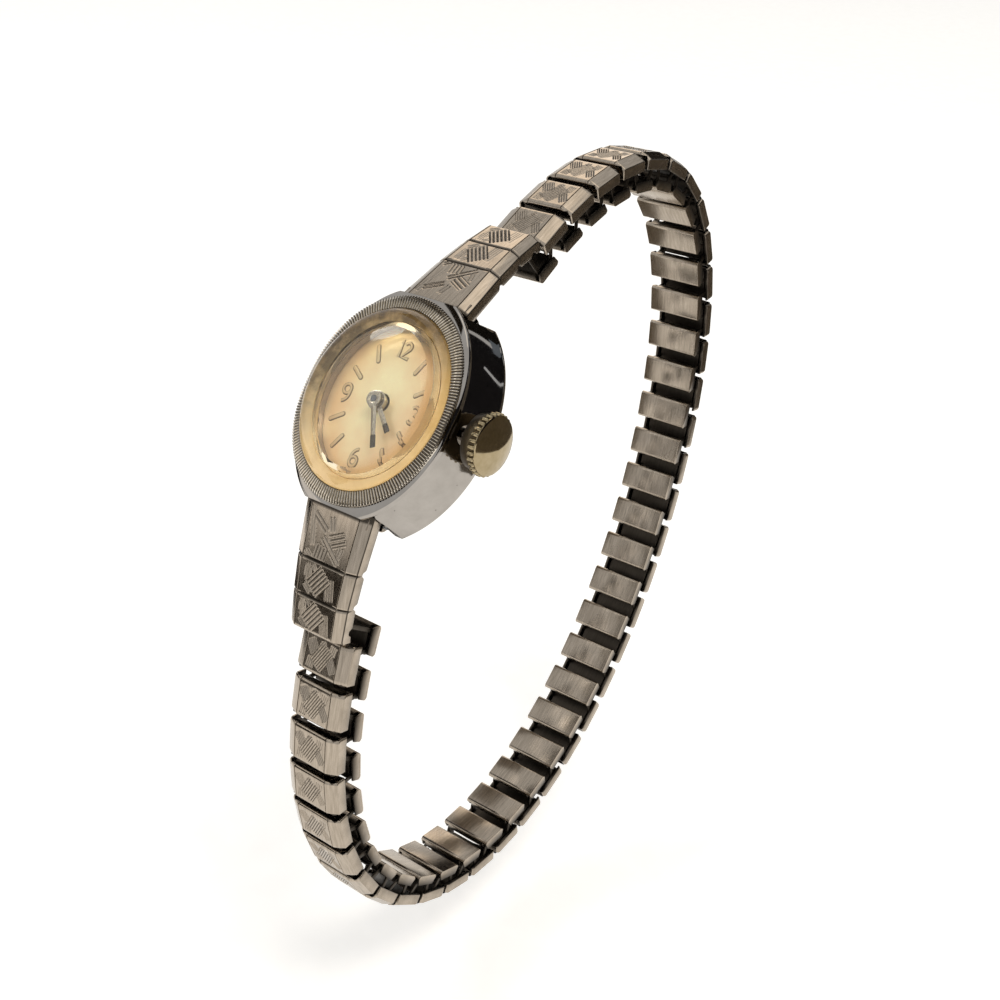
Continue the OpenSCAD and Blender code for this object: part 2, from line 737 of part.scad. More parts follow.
module end_shell() {
    difference() {
        union() {
            intersection() {
                shell_block(0, cap_h);
                shell_outline(0);
            }
            rotate([0, 90, 0]) translate([0, 0, -knuckle_x]) cylinder(r = knuckle_r, h = 2 * knuckle_x);
            along_x(-knuckle_x, 2 * knuckle_x) polygon([[shell_back, 0], [knuckle_r, 0],
                [knuckle_r, shell_rise - skin], [shell_back, shell_rise - skin]]);
        }
        difference() {
            intersection() {
                shell_block(skin, 2 * cap_h);
                shell_outline(cap_wall);
            }
            translate([-shell_w0, -shell_rise, -shell_rise])
                cube([2 * shell_w0, shell_rise + knuckle_r, 3 * shell_rise]);
            along_x(-sleeve_half, 2 * sleeve_half) polygon([shell_3 + [0.1, 0], shell_3 - [lip_t, 0],
                lip_foot - [lip_t, 0], lip_foot + [0.1, 0]]);
        }
        rotate([0, 90, 0]) translate([0, 0, -shell_w0 - margin])
            cylinder(r = bar_r + run_gap, h = 2 * (shell_w0 + margin));
        shell_groove(shell_1, bend_1);
        shell_groove(shell_2, bend_2);
    }
}

module at_bar(droop) {
    translate([0, lug_y, lug_z]) rotate([-droop, 0, 0]) children();
}

module end_shell_12() color("rosybrown") place_head() at_bar(shell_droop_12) end_shell();
module end_shell_6() color("rosybrown") place_head() mirror([0, 1, 0]) at_bar(shell_droop_6) end_shell();

// The loop: an egg that leans, walked from the 12 o'clock shell over the back to the 6 o'clock shell
function turned(p, a) = [p[0] * cos(a) - p[1] * sin(a), p[0] * sin(a) + p[1] * cos(a)];
function loop_pt(t) = [loop_y, -loop_z]
    + turned([loop_short * cos(t) * (1 - loop_egg * sin(t)), loop_long * sin(t)], -loop_lean);
walk_from = 170;
walk_steps = 360;
function walk_step(i) = norm(loop_pt(walk_from - i - 1) - loop_pt(walk_from - i));
walk = [for (i = 0, s = 0; i <= walk_steps; s = s + walk_step(i), i = i + 1) [s, walk_from - i]];
function walk_pt(s) = loop_pt(lookup(s, walk));
function nearest_s(p) = let (d = [for (w = walk) norm(loop_pt(w[1]) - p)], m = min(d))
    [for (i = [0:walk_steps]) if (d[i] == m) walk[i][0]][0];

function shell_tip(side, droop) = let (p = turned(shell_3, -droop))
    turned([side * (lug_y + p[0]), lug_z + p[1]], head_tilt);
first_gap = 0.3;
walk_0 = nearest_s(shell_tip(1, shell_droop_12)) + first_gap + cap_l / 2;
walk_1 = nearest_s(shell_tip(-1, shell_droop_6)) - first_gap - cap_l / 2;
pitch = (walk_1 - walk_0) / (link_count - 1);

function walk_s(i) = walk_0 + (i - 1) * pitch;
function walk_turn(s) = let (v = walk_pt(s + pitch / 2) - walk_pt(s - pitch / 2)) atan2(v[1], v[0]);
// A point of the band: y along it and z outwards from the outer face at walk distance s
function band_pt(s, y, z) = walk_pt(s) + turned([y, z], walk_turn(s));
module at_walk(s) {
    p = walk_pt(s);
    translate([0, p[0], p[1]]) rotate([walk_turn(s), 0, 0]) children();
}

// Sleeves of a link
sleeve_half = link_w / 2 - cap_wall - 0.25;
sleeve_top_l = cap_l - 0.25;
sleeve_top_h = 0.85;
sleeve_top_z = -cap_wall - seat_gap;
cap_chamfer = 0.35;
inner_chamfer = 0.2;
leg_in = 0.45;
leg_z = -(cap_wall + leg_in);
leg_low_z = -(band_t - leg_in);
leaf_t = 0.05;
leaf_l = 1.6;
leg_back = 1.3;
leg_rise = 0.05;

module cap() {
    w = link_w / 2;
    v = w - cap_wall;
    half = [[w, -cap_h], [w, -cap_chamfer], [w - cap_chamfer, 0]];
    inner = [[v - inner_chamfer, -cap_wall], [v, -cap_wall - inner_chamfer], [v, -cap_h]];
    along_y(cap_l) polygon(concat(inner, half, [for (p = reversed(half)) [-p[0], p[1]]],
        [for (p = reversed(inner)) [-p[0], p[1]]]));
}

module tube_sleeve(len, top, high) {
    difference() {
        translate([-sleeve_half, -len / 2, top - high]) cube([2 * sleeve_half, len, high]);
        translate([-link_w, -len / 2 + sleeve_wall, top - high + sleeve_wall])
            cube([2 * link_w, len - 2 * sleeve_wall, high - 2 * sleeve_wall]);
    }
}

module lower_sleeve() {
    cheek = 0.15;
    half = link_w / 2 - 0.05;
    tube_sleeve(sleeve_l, -band_t + sleeve_h, sleeve_h);
    translate([-half, -sleeve_l / 2, -band_t]) cube([2 * half, sleeve_l, sleeve_wall]);
    mirror_x() translate([half - cheek, -sleeve_l / 2, -band_t]) cube([cheek, sleeve_l, sleeve_h]);
}

// Flat spring, arched by its own thickness across the sleeve
module leaf_spring(z, rise) {
    half = sleeve_half - body_gap;
    along_y(leaf_l) polygon([[-half, z], [0, z + rise], [half, z], [half, z - leaf_t],
        [0, z + rise - leaf_t], [-half, z - leaf_t]]);
}

// Bow: a side strip between two points of the loop, with a leg into the sleeve at each end
leg_len = 1.15;
bow_x = sleeve_half + 0.05;

module bow(p, q) {
    d = (q - p) / norm(q - p);
    n = [-d[1], d[0]];
    w = bow_w / 2;
    t = bow_t / 2;
    mirror_x() {
        along_x(bow_x, bow_t) polygon([p - d * w + n * w, q + d * w + n * w,
            q + d * w - n * w, p - d * w - n * w]);
        for (c = [p, q]) along_x(bow_x - leg_len, leg_len + bow_t / 2)
            polygon([c - d * t + n * w, c + d * t + n * w, c + d * t - n * w, c - d * t - n * w]);
    }
}

lead_y = 0.75;
trail_y = -0.2;
low_y = 0.72;

module lower_group(s, from, to) {
    at_walk(s) {
        lower_sleeve();
        leaf_spring(-band_t + sleeve_wall + 0.06, 0.02);
    }
    bow(from, band_pt(s, -low_y, leg_low_z));
    bow(to, band_pt(s, low_y, leg_low_z));
}

function lead_pt(i) = band_pt(walk_s(i), lead_y, leg_z);
function trail_pt(i) = band_pt(walk_s(i), trail_y, leg_z);
function shell_leg(side, droop) =
    let (p = turned(below(shell_3, bend_3, cap_wall + leg_in) + [-leg_back, leg_rise], -droop))
    turned([side * (lug_y + p[0]), lug_z + p[1]], head_tilt);

module link(i) color(i % 2 == 0 ? "rosybrown" : "tan") {
    at_walk(walk_s(i)) {
        cap();
        tube_sleeve(sleeve_top_l, sleeve_top_z, sleeve_top_h);
        leaf_spring(sleeve_top_z - sleeve_wall - 0.08, 0.06);
    }
    if (i == 1) lower_group(walk_s(1) - pitch / 2, shell_leg(1, shell_droop_12), trail_pt(1));
    if (i < link_count) lower_group(walk_s(i) + pitch / 2, lead_pt(i), trail_pt(i + 1));
    if (i == link_count) lower_group(walk_s(i) + pitch / 2, lead_pt(i), shell_leg(-1, shell_droop_6));
}

case_middle();
bezel();
crystal();
dial();
case_back();
spring_bars();
end_shell_12();
end_shell_6();
crown();
winding_stem();
setting_lever();
hour_hand();
minute_hand();
main_plate();
train_bridges();
barrel();
centre_wheel();
third_wheel();
fourth_wheel();
escape_wheel();
pallet_fork();
balance_wheel();
for (i = [1:link_count]) link(i);
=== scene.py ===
import json
import math
from functools import partial

import bmesh
import bpy
import numpy as np
from mathutils import Matrix, Vector

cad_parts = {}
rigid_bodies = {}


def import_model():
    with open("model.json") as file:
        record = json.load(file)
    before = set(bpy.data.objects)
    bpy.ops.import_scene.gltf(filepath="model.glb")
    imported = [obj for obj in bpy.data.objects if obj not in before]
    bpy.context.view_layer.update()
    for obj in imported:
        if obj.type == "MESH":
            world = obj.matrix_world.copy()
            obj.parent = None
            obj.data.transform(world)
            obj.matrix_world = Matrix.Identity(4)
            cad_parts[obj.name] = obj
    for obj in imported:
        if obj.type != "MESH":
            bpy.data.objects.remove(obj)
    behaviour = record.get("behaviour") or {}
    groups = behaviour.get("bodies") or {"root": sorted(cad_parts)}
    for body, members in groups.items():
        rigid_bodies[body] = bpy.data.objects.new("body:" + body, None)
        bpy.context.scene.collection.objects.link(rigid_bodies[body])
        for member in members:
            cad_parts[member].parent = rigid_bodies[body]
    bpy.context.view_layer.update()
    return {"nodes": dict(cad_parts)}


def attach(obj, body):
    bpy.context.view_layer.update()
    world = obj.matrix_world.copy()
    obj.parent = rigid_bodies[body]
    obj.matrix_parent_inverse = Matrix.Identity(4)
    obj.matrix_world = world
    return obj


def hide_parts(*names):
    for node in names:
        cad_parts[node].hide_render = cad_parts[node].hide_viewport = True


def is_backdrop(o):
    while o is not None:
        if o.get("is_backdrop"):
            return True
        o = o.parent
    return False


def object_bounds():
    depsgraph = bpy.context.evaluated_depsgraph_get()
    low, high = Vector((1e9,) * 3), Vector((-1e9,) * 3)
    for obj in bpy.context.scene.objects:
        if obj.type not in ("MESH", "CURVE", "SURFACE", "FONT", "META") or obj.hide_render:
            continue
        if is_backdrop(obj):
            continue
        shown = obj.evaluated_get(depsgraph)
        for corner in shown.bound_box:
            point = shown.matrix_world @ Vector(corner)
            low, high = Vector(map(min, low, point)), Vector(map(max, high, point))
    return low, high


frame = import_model()

# Sizes are in millimetres in the part's own frame; meshes are written in metres
MM = 0.001
# How far the head is raised from lying flat, in degrees
HEAD_TILT = 48.9
CASE_RX, CASE_END, EDGE_Z = 7.6, 8.0, 0.8
HORN_X, LUG_Y, LUG_Z = 3.35, 7.45, 2.0
RIM_Z, RIM_H, BEZEL_H, GLASS_H = 4.6, 0.55, 0.65, 1.5
# The head's ovals, each as its half width and half length
CASE = np.array([CASE_RX, CASE_END / math.sqrt(1 - ((HORN_X + 0.65) / CASE_RX) ** 2)])
NECK = CASE - (1.3, 0.7)
RIM = NECK + (0.3, 0.05)
BEZEL = RIM - (0.15, 0.94)
GLASS = BEZEL - (0.55, 1.07)
CAVITY, SIGHT = np.array([5.1, 6.3]), np.array([4.75, 5.75])
DIAL_Z, DIAL_T = 3.95, 0.3
STEM_Z = 2.75
CROWN_X, CROWN_R, CROWN_T, CROWN_DOME = 7.72, 2.25, 1.4, 0.4
HOUR_ANGLE, MINUTE_ANGLE = 132.7, 152.4
LINK_W, CAP_L, CAP_H, CAP_WALL, BAND_T = 5.0, 3.05, 1.3, 0.25, 2.95
LINK_COUNT = 38
BEZEL_FLUTES, CROWN_FLUTES = 200, 30


def heading(degrees):
    """The direction at an angle, as two numbers."""
    return np.array([math.cos(math.radians(degrees)), math.sin(math.radians(degrees))])


def turned(p, degrees):
    """A pair of numbers or arrays, turned about the origin."""
    c, s = heading(degrees)
    return np.array([p[0] * c - p[1] * s, p[0] * s + p[1] * c])


def from_head(points):
    """Points of the head's frame, x to 3 o'clock, y to 12 o'clock and z out of the dial, in the part's frame."""
    x, *yz = np.moveaxis(np.asarray(points, float), -1, 0)
    return np.stack([x, *turned(yz, HEAD_TILT)], -1)


def between(a, b, t):
    return a + (b - a) * t


as_is = np.asarray

# Meshes


def smoothed(mesh, degrees):
    mesh.shade_smooth()
    mesh.set_sharp_from_angle(angle=math.radians(degrees))
    return mesh


def shown(name, mesh):
    obj = bpy.data.objects.new(name, mesh)
    bpy.context.collection.objects.link(obj)
    return obj


def new_piece(name, points, faces, place=from_head, values=None, smooth=32):
    """A closed mesh whose faces are turned outwards. values are kept on its points under their names; edges of
    more than smooth degrees stay sharp."""
    mesh = bpy.data.meshes.new(name)
    mesh.from_pydata((place(points) * MM).tolist(), [], faces)
    for key, numbers in (values or {}).items():
        mesh.attributes.new(key, "FLOAT", "POINT").data.foreach_set("value", np.array(numbers, float))
    work = bmesh.new()
    work.from_mesh(mesh)
    bmesh.ops.recalc_face_normals(work, faces=work.faces)
    work.to_mesh(mesh)
    work.free()
    return shown(name, smoothed(mesh, smooth))


def baked(obj, smooth=32):
    """The object with its modifiers worked into its mesh and taken off."""
    mesh = bpy.data.meshes.new_from_object(obj.evaluated_get(bpy.context.evaluated_depsgraph_get()))
    obj.modifiers.clear()
    obj.data = smoothed(mesh, smooth)
    return obj


def rings_to_faces(ring_count, n, joined=False):
    """Quads between rings of n points. joined also joins the last ring to the first; otherwise both ends close."""
    rows = ring_count if joined else ring_count - 1
    i, j = np.meshgrid(np.arange(rows), np.arange(n), indexing="ij")
    k, m = (i + 1) % ring_count, (j + 1) % n
    faces = np.stack([i * n + j, i * n + m, k * n + m, k * n + j], -1).reshape(-1, 4).tolist()
    if not joined:
        faces += [list(range(n))[::-1], list(range((ring_count - 1) * n, ring_count * n))]
    return faces


def oval(rx, ry, n=240):
    a = np.arange(n) * 2 * math.pi / n
    return np.stack([rx * np.cos(a), ry * np.sin(a)], -1)


def oval_rings(profile, n=240):
    """One oval ring of n points for each (half width, half length, height) of a profile."""
    return np.concatenate([np.insert(oval(rx, ry, n), 2, z, axis=1) for rx, ry, z in profile])


def turned_oval(name, profile, joined=False, n=240, values=None, smooth=32):
    on_points = {key: np.repeat(v, n) for key, v in (values or {}).items()}
    faces = rings_to_faces(len(profile), n, joined)
    return new_piece(name, oval_rings(profile, n), faces, values=on_points, smooth=smooth)


def arc(cx, cy, r, start, end, n=24):
    a = np.radians(np.linspace(start, end, n))
    return np.stack([cx + r * np.cos(a), cy + r * np.sin(a)], -1)


def prism(outline, low, high, axis=0):
    """Points and faces of a closed outline drawn out along an axis."""
    ends = [np.insert(np.asarray(outline, float), axis, level, axis=1) for level in (low, high)]
    return np.concatenate(ends), rings_to_faces(2, len(outline))


def block(low, high):
    (x0, y0, z0), (x1, y1, z1) = low, high
    return prism([[y0, z0], [y1, z0], [y1, z1], [y0, z1]], x0, x1)


def rod(radius, x0, x1, y, z, n=24):
    return prism(oval(radius, radius, n) + (y, z), x0, x1)


def joined_solids(solids):
    """Solids of points, faces and values for the points, 0 where none are given, as one."""
    points, faces, values = [], [], []
    for p, f, *v in solids:
        start = sum(map(len, points))
        faces += [[i + start for i in face] for face in f]
        points.append(np.asarray(p, float))
        values.append(np.broadcast_to(v[0] if v else 0.0, len(p)))
    return np.concatenate(points), faces, np.concatenate(values)


def softened(obj, width):
    """The object with its edges rounded."""
    bevel = obj.modifiers.new("edge", "BEVEL")
    bevel.width = width * MM
    bevel.segments = 2
    bevel.limit_method = "ANGLE"
    bevel.angle_limit = math.radians(35)
    return baked(obj)


def cut_with(obj, solid, operation="DIFFERENCE"):
    cutter = new_piece("cutter", *solid)
    cut = obj.modifiers.new("cut", "BOOLEAN")
    cut.object, cut.operation, cut.solver = cutter, operation, "EXACT"
    baked(obj)
    bpy.data.objects.remove(cutter)


# Materials


def srgb(code):
    """A hex colour as linear light, with alpha 1."""
    parts = [int(code[i:i + 2], 16) / 255 for i in (1, 3, 5)]
    return [c / 12.92 if c <= 0.04045 else ((c + 0.055) / 1.055) ** 2.4 for c in parts] + [1]


def add(tree, kind, inputs=(), out=0, **settings):
    """A node with its settings. An input, by its place or name, is given a value, a hex colour or the socket that
    feeds it. Gives the output out."""
    n = tree.nodes.new(kind if "Node" in kind else "ShaderNode" + kind)
    for key, value in settings.items():
        setattr(n, key, value)
    for key, value in inputs.items() if isinstance(inputs, dict) else enumerate(inputs):
        if isinstance(value, bpy.types.NodeSocket):
            tree.links.new(value, n.inputs[key])
        else:
            n.inputs[key].default_value = srgb(value) if str(value)[0] == "#" else value
    return n.outputs[out] if len(n.outputs) else None


def stained(node, colour, stain, value, low, high, most=1):
    """The colour with a share of a stain that grows to most as the value goes from low to high."""
    share = node("MapRange", (value, low, high, 0, most))
    return node("Mix", {0: share, 6: colour, 7: stain}, 2, data_type="RGBA")


def new_material(name, shader_of, *given, **more):
    """A material whose shader comes from shader_of. That gets a call that adds a node and the piece's own
    coordinates in millimetres."""
    material = bpy.data.materials.new(name)
    material.use_nodes = True
    tree = material.node_tree
    tree.nodes.clear()
    node = partial(add, tree)
    place = node("VectorMath", (node("TexCoord", out="Object"), (1000, 1000, 1000)), operation="MULTIPLY")
    node("OutputMaterial", (shader_of(node, place, *given, **more),))
    return material


def worn_metal(node, place, light, dark, rough, grain, recess=None, bump=0.002, specks=None, core=0.0):
    """A metal whose colour and gloss vary a little. grain is the size of the marks in mm along x, y and z; the grime
    colour is that of grime and painted shade, which sit where the point value of the same name is high; core is the
    radius in mm of a steel arbor on the hands' axis."""
    scaled = node("VectorMath", (place, [1 / g for g in grain]), operation="MULTIPLY")
    marks = node("TexNoise", {"Vector": scaled, "Scale": 1.0, "Detail": 4.0, "Roughness": 0.6})
    cloud = node("TexNoise", {"Vector": place, "Scale": 0.35, "Detail": 2.0})
    colour = stained(node, dark, light, marks, 0.3, 0.7)
    gloss = node("MapRange", (cloud, 0.3, 0.7, *rough))
    if recess:
        # Grime and painted shade darken the colour where the point value is high, and make it rougher there
        deep = node("Attribute", out="Fac", attribute_name="recess")
        colour = stained(node, colour, recess, deep, 0.1, 0.9, 0.85)
        gloss = node("Math", (gloss, node("MapRange", (deep, 0, 1, 0, 0.25))), operation="ADD")
    if specks:
        cells = node("TexVoronoi", {"Vector": place, "Scale": 0.9, "Randomness": 1.0})
        colour = stained(node, colour, specks, cells, 0.07, 0.03, 0.7)
    if core:
        rise = node("VectorMath", (place, (0, *heading(HEAD_TILT))), "Value", operation="DOT_PRODUCT")
        flat = node("CombineXYZ", (node("SeparateXYZ", (place,)), rise))
        reach = node("VectorMath", (flat,), "Value", operation="LENGTH")
        colour = stained(node, colour, "#86888C", reach, core + 0.05, core)
    return node("BsdfPrincipled", {"Base Color": colour, "Roughness": gloss, "Metallic": 1.0, "Normal": node(
        "Bump", {"Height": marks, "Distance": bump * MM, "Strength": 1.0})})


# Chromium-plated brass, buffed: near mirror, cool grey, a few dark pits where the plating has failed
chrome = new_material("polished_chrome_plate", worn_metal, "#ACA7A1", "#9F9A94", (0.03, 0.09), (1.5, 1.5, 1.5),
                      bump=0.0006, specks="#4A4342")
# Rolled stainless steel, cut with fine flutes: bright crests, brown grime and painted shade in the valleys
bezel_steel = new_material("fluted_stainless_steel", worn_metal, "#EAE3D8", "#CFC5B3", (0.1, 0.18),
                           (0.25, 0.25, 0.25), recess="#33261A", bump=0.001)
# Stamped stainless steel, engraved and long worn: warm grey, streaked along the band, dark in the cuts with grime and
# painted shade, and with painted shade inside the band
band_steel = new_material("engraved_stainless_steel", worn_metal, "#B8AC9D", "#988D7F", (0.15, 0.27),
                          (0.12, 1.6, 1.6), recess="#15110D", bump=0.003)
# Rolled gold on brass, buffed: pale champagne gold with grime and painted shade at its roots
crown_gold = new_material("rolled_gold_plate", worn_metal, "#AB9C7F", "#998A6A", (0.04, 0.1), (0.6, 0.6, 0.6),
                          recess="#2A1F14", bump=0.0005)
# Stainless steel back, worn to fine streaks: satin
back_steel = new_material("brushed_stainless_steel", worn_metal, "#C2C2C2", "#A5A5A6", (0.24, 0.36),
                          (0.12, 2.5, 0.5), bump=0.003)
# Hardened and polished spring steel, for the stem, bars, lever and escape wheel: even mid grey, softly bright
spring_steel = new_material("hardened_spring_steel", worn_metal, "#A9ABAE", "#86888C", (0.2, 0.3),
                            (0.3, 0.3, 0.3), bump=0.001)
# Gilt brass plate, finely grained: warm yellow with a satin shine
movement_gilt = new_material("gilt_brass_plate", worn_metal, "#DDBE76", "#C3A25A", (0.26, 0.36), (0.1, 1.2, 1.2))
# Lathe-turned brass: bright yellow. The centre wheel's arbor is polished steel, and its end shows in the hands
BRASS = "#E0BC66", "#C79F48", (0.18, 0.28), (0.4, 0.4, 0.4)
wheel_brass = new_material("turned_wheel_brass", worn_metal, *BRASS, bump=0.001)
arbor_brass = new_material("wheel_brass_on_steel", worn_metal, *BRASS, bump=0.001, core=0.65)


def hand_plate(node, place):
    """Rhodium-plated brass hands: satin grey shafts with darker tips."""
    marks = node("TexNoise", {"Vector": place, "Scale": 9.0, "Detail": 3.0})
    colour = stained(node, "#A8A194", "#C4BDAF", marks, 0.3, 0.7)
    tip = node("Attribute", out="Fac", attribute_name="tip")
    return node("BsdfPrincipled", {
        "Base Color": stained(node, colour, "#59544C", tip, 0, 1), "Metallic": 1.0,
        "Roughness": node("MapRange", (marks, 0.3, 0.7, 0.16, 0.28)),
        "Normal": node("Bump", {"Height": marks, "Distance": 0.002 * MM})})


def dial_lacquer(node, place):
    """Lacquered champagne dial: pale yellow in the upper middle, peach towards its sides, faintly clouded with
    age. The sloped sides of the raised marks are brown-grey."""
    cloud = node("TexNoise", {"Vector": place, "Scale": 0.45, "Detail": 3.0, "Roughness": 0.55})
    grain = node("TexNoise", {"Vector": place, "Scale": 14.0, "Detail": 2.0})
    across = node("Attribute", out="Fac", attribute_name="across")
    edge = node("Attribute", out="Fac", attribute_name="edge")
    age = node("Math", (across, node("MapRange", (cloud, 0.3, 0.7, -0.25, 0.25))), operation="ADD")
    colour = stained(node, "#F5EFC4", "#E6C69C", age, 0, 1)
    colour = stained(node, colour, "#E6D6B4", grain, 0.35, 0.65, 0.25)
    colour = stained(node, colour, "#4E3D2A", edge, 0, 1, 0.9)
    return node("BsdfPrincipled", {
        "Base Color": colour, "Metallic": 0.35, "Roughness": node("MapRange", (grain, 0.3, 0.7, 0.32, 0.46)),
        "Coat Weight": 0.3, "Coat Roughness": 0.12,
        "Normal": node("Bump", {"Height": grain, "Distance": 0.003 * MM})})


def cast_acrylic(node, place):
    """Cast acrylic, yellowed: clear over the dial and amber through the thick bevel, with faint rubbing marks."""
    rub = node("TexNoise", {"Vector": place, "Scale": 0.8, "Detail": 4.0, "Roughness": 0.7})
    wall = node("Attribute", out="Fac", attribute_name="wall")
    colour = stained(node, "#FFFEFA", "#E9CF9C", wall, 0, 1)
    glass = node("BsdfPrincipled", {"Base Color": colour, "Roughness": node("MapRange", (rub, 0.4, 0.75, 0, 0.05)),
                                    "IOR": 1.49, "Transmission Weight": 1.0})
    # Light passes to the dial straight through, as it does through thin acrylic
    return node("MixShader", (node("LightPath", out="Is Shadow Ray"), glass, node("BsdfTransparent", (colour,))))


def old_cement(node, place):
    """Dried cement, clouded in tone, with painted light that goes from olive-brown to cream across it: gives the
    crystal's bevel its depth.
    """
    cloud = node("TexNoise", {"Vector": place, "Scale": 0.7, "Detail": 4.0, "Roughness": 0.65})
    # Painted light: cream towards 4 o'clock, olive-brown towards 10 o'clock
    side = node("VectorMath", (place, (0.6, -0.525, -0.6)), "Value", operation="DOT_PRODUCT")
    colour = stained(node, "#6C5F47", "#EEDFBE", side, -3.4, 1.6)
    colour = stained(node, colour, "#D9C49A", cloud, 0.42, 0.66, 0.6)
    return node("BsdfPrincipled", {"Base Color": colour, "Roughness": 0.55,
                                   "Normal": node("Bump", {"Height": cloud, "Distance": 0.01 * MM})})


hand_steel = new_material("satin_rhodium_plate", hand_plate)


def dress(obj, material, body, node=None):
    """Gives a finished piece its material and its body, and hides the CAD node that it stands for."""
    obj.data.materials.clear()
    obj.data.materials.append(material)
    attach(obj, body)
    if node:
        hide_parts(node)


# Case: polished facets that spread down to a sharp edge, a rounded top rim, lugs and the crown's tube


def case_piece():
    under_rim = RIM_Z - RIM_H
    profile = [(*CASE - inset, EDGE_Z + rise) for inset, rise in ((0.1, 0), (0, 0.05), (0, 0.27), (0.02, 0.32))]
    for t in np.arange(1, 11) / 10:
        facet = between(CASE - 0.02, NECK, t) + 0.07 * math.sin(math.pi * t)
        profile.append((*facet, between(EDGE_Z + 0.32, under_rim - 0.02, t)))
    profile += [(*RIM - 0.06, under_rim), (*RIM, under_rim + 0.04)]
    # The rim's top rises from its outline, at t 0, to the bezel's, at t 1
    profile += [(*between(RIM, BEZEL, t), RIM_Z - drop) for t, drop in (
        (0, 0.4), (0.03, 0.31), (0.08, 0.24), (0.15, 0.19), (0.3, 0.14), (0.5, 0.095), (0.75, 0.045), (1, 0))]
    body = turned_oval("case_middle_polished", profile, n=200)
    # The horns' ends lean in towards the dial under the rim
    right = [[CASE_END, -1], [CASE_END, EDGE_Z], [CASE_END - 0.5, under_rim - 0.02], [CASE_END, under_rim],
             [CASE_END, 9]]
    cut_with(body, prism([[-y, z] for y, z in right] + right[::-1], -9, 9), "INTERSECT")
    cut_with(body, rod(0.8, 4, CASE_RX - 0.12, 0, STEM_Z, 48), "UNION")
    cut_with(body, prism(oval(*CAVITY, 120), EDGE_Z - 0.5, DIAL_Z + 0.05, 2))
    cut_with(body, prism(oval(*SIGHT, 120), DIAL_Z - 0.1, RIM_Z + 1, 2))
    for side in (-1, 1):
        low, high = sorted((side * 6.63, side * 10))
        cut_with(body, block((-HORN_X, low, -1), (HORN_X, high, under_rim)))
        cut_with(body, rod(0.31, -3.78, 3.78, side * LUG_Y, LUG_Z))
    cut_with(body, rod(0.4, 4, 9, 0, STEM_Z))
    return body


dress(case_piece(), chrome, "case", "case_middle")

# Bezel: a ring with a sloped top, and flutes across it set by a node tree at equal steps round the oval


def new_tree(name, sockets):
    """A node tree with named inputs of given kinds: the tree, a call that adds a node to it, and the inputs."""
    tree = bpy.data.node_groups.new(name, "GeometryNodeTree")
    for label, kind in sockets.items():
        tree.interface.new_socket(label, in_out="INPUT", socket_type="NodeSocket" + kind)
    tree.interface.new_socket("Geometry", in_out="OUTPUT", socket_type="NodeSocketGeometry")
    node = partial(add, tree)
    return tree, node, node("NodeGroupInput").node.outputs


def set_at_points(node, finish, **placing):
    """Ends a tree with copies of a shape at points, as one mesh in its finish."""
    copies = node("GeometryNodeInstanceOnPoints", {key.replace("_", " "): value for key, value in placing.items()})
    solid = node("GeometryNodeRealizeInstances", (copies,))
    node("NodeGroupOutput", (node("GeometryNodeSetMaterial", {"Geometry": solid, "Material": finish}),))


def flute_tree():
    """Copies of a flute at equal steps round an oval, each as long as the ring is wide there."""
    tree, node, given = new_tree("flutes_round_an_oval", {
        "Flute": "Object", "Count": "Int", "Half Width": "Float", "Half Length": "Float",
        "Reach At Side": "Float", "Reach At End": "Float", "Finish": "Material"})
    circle = node("GeometryNodeCurvePrimitiveCircle", {"Resolution": 512, "Radius": 1.0}, mode="RADIUS")
    size = node("CombineXYZ", (given["Half Width"], given["Half Length"], 1.0))
    round_oval = node("GeometryNodeTransform", {"Geometry": circle, "Scale": size})
    turn = node("FunctionNodeAlignRotationToVector", {"Vector": node("GeometryNodeInputTangent")},
                axis="Y", pivot_axis="Z")
    along = node("SeparateXYZ", (node("GeometryNodeInputPosition"),), "Y")
    reach = node("MapRange", {0: node("Math", (along,), operation="ABSOLUTE"), 2: given["Half Length"],
                              3: given["Reach At Side"], 4: given["Reach At End"]})
    set_at_points(node, given["Finish"], Rotation=turn, Scale=node("CombineXYZ", (reach, 1.0, 1.0)),
                  Points=node("GeometryNodeResampleCurve", {"Curve": round_oval, "Count": given["Count"]}),
                  Instance=node("GeometryNodeObjectInfo", (given["Flute"],), "Geometry"))
    return tree


def grown(name, tree, values, mesh=None):
    """The mesh that a node tree makes from its named inputs, as a plain object."""
    obj = shown(name, mesh or bpy.data.meshes.new(name))
    modifier = obj.modifiers.new("shape", "NODES")
    modifier.node_group = tree
    for item in tree.interface.items_tree:
        if item.in_out == "INPUT" and item.name in values:
            modifier[item.identifier] = values[item.name]
    return baked(obj, 40)


def merged(name, objects):
    """Several objects as one mesh that keeps their point values."""
    work = bmesh.new()
    for obj in objects:
        work.from_mesh(obj.data)
        bpy.data.objects.remove(obj)
    mesh = bpy.data.meshes.new(name)
    work.to_mesh(mesh)
    work.free()
    return shown(name, smoothed(mesh, 40))


FLUTE_TREE = flute_tree()


def with_flutes(name, base, flute, place, finish, count, half, reach):
    """The base with copies of a flute on an oval of half width and half length half, their points then passed
    through place in millimetres. reach is a flute's length at the oval's side and at its end."""
    ridges = grown("ridges", FLUTE_TREE, {
        "Flute": flute, "Finish": finish, "Count": count, "Half Width": half[0] * MM, "Half Length": half[1] * MM,
        "Reach At Side": reach[0], "Reach At End": reach[1]})
    bpy.data.objects.remove(flute)
    points = np.empty(len(ridges.data.vertices) * 3)
    ridges.data.vertices.foreach_get("co", points)
    ridges.data.vertices.foreach_set("co", (place(points.reshape(-1, 3) / MM) * MM).reshape(-1))
    ridges.data.update()
    return merged(name, [base, ridges])


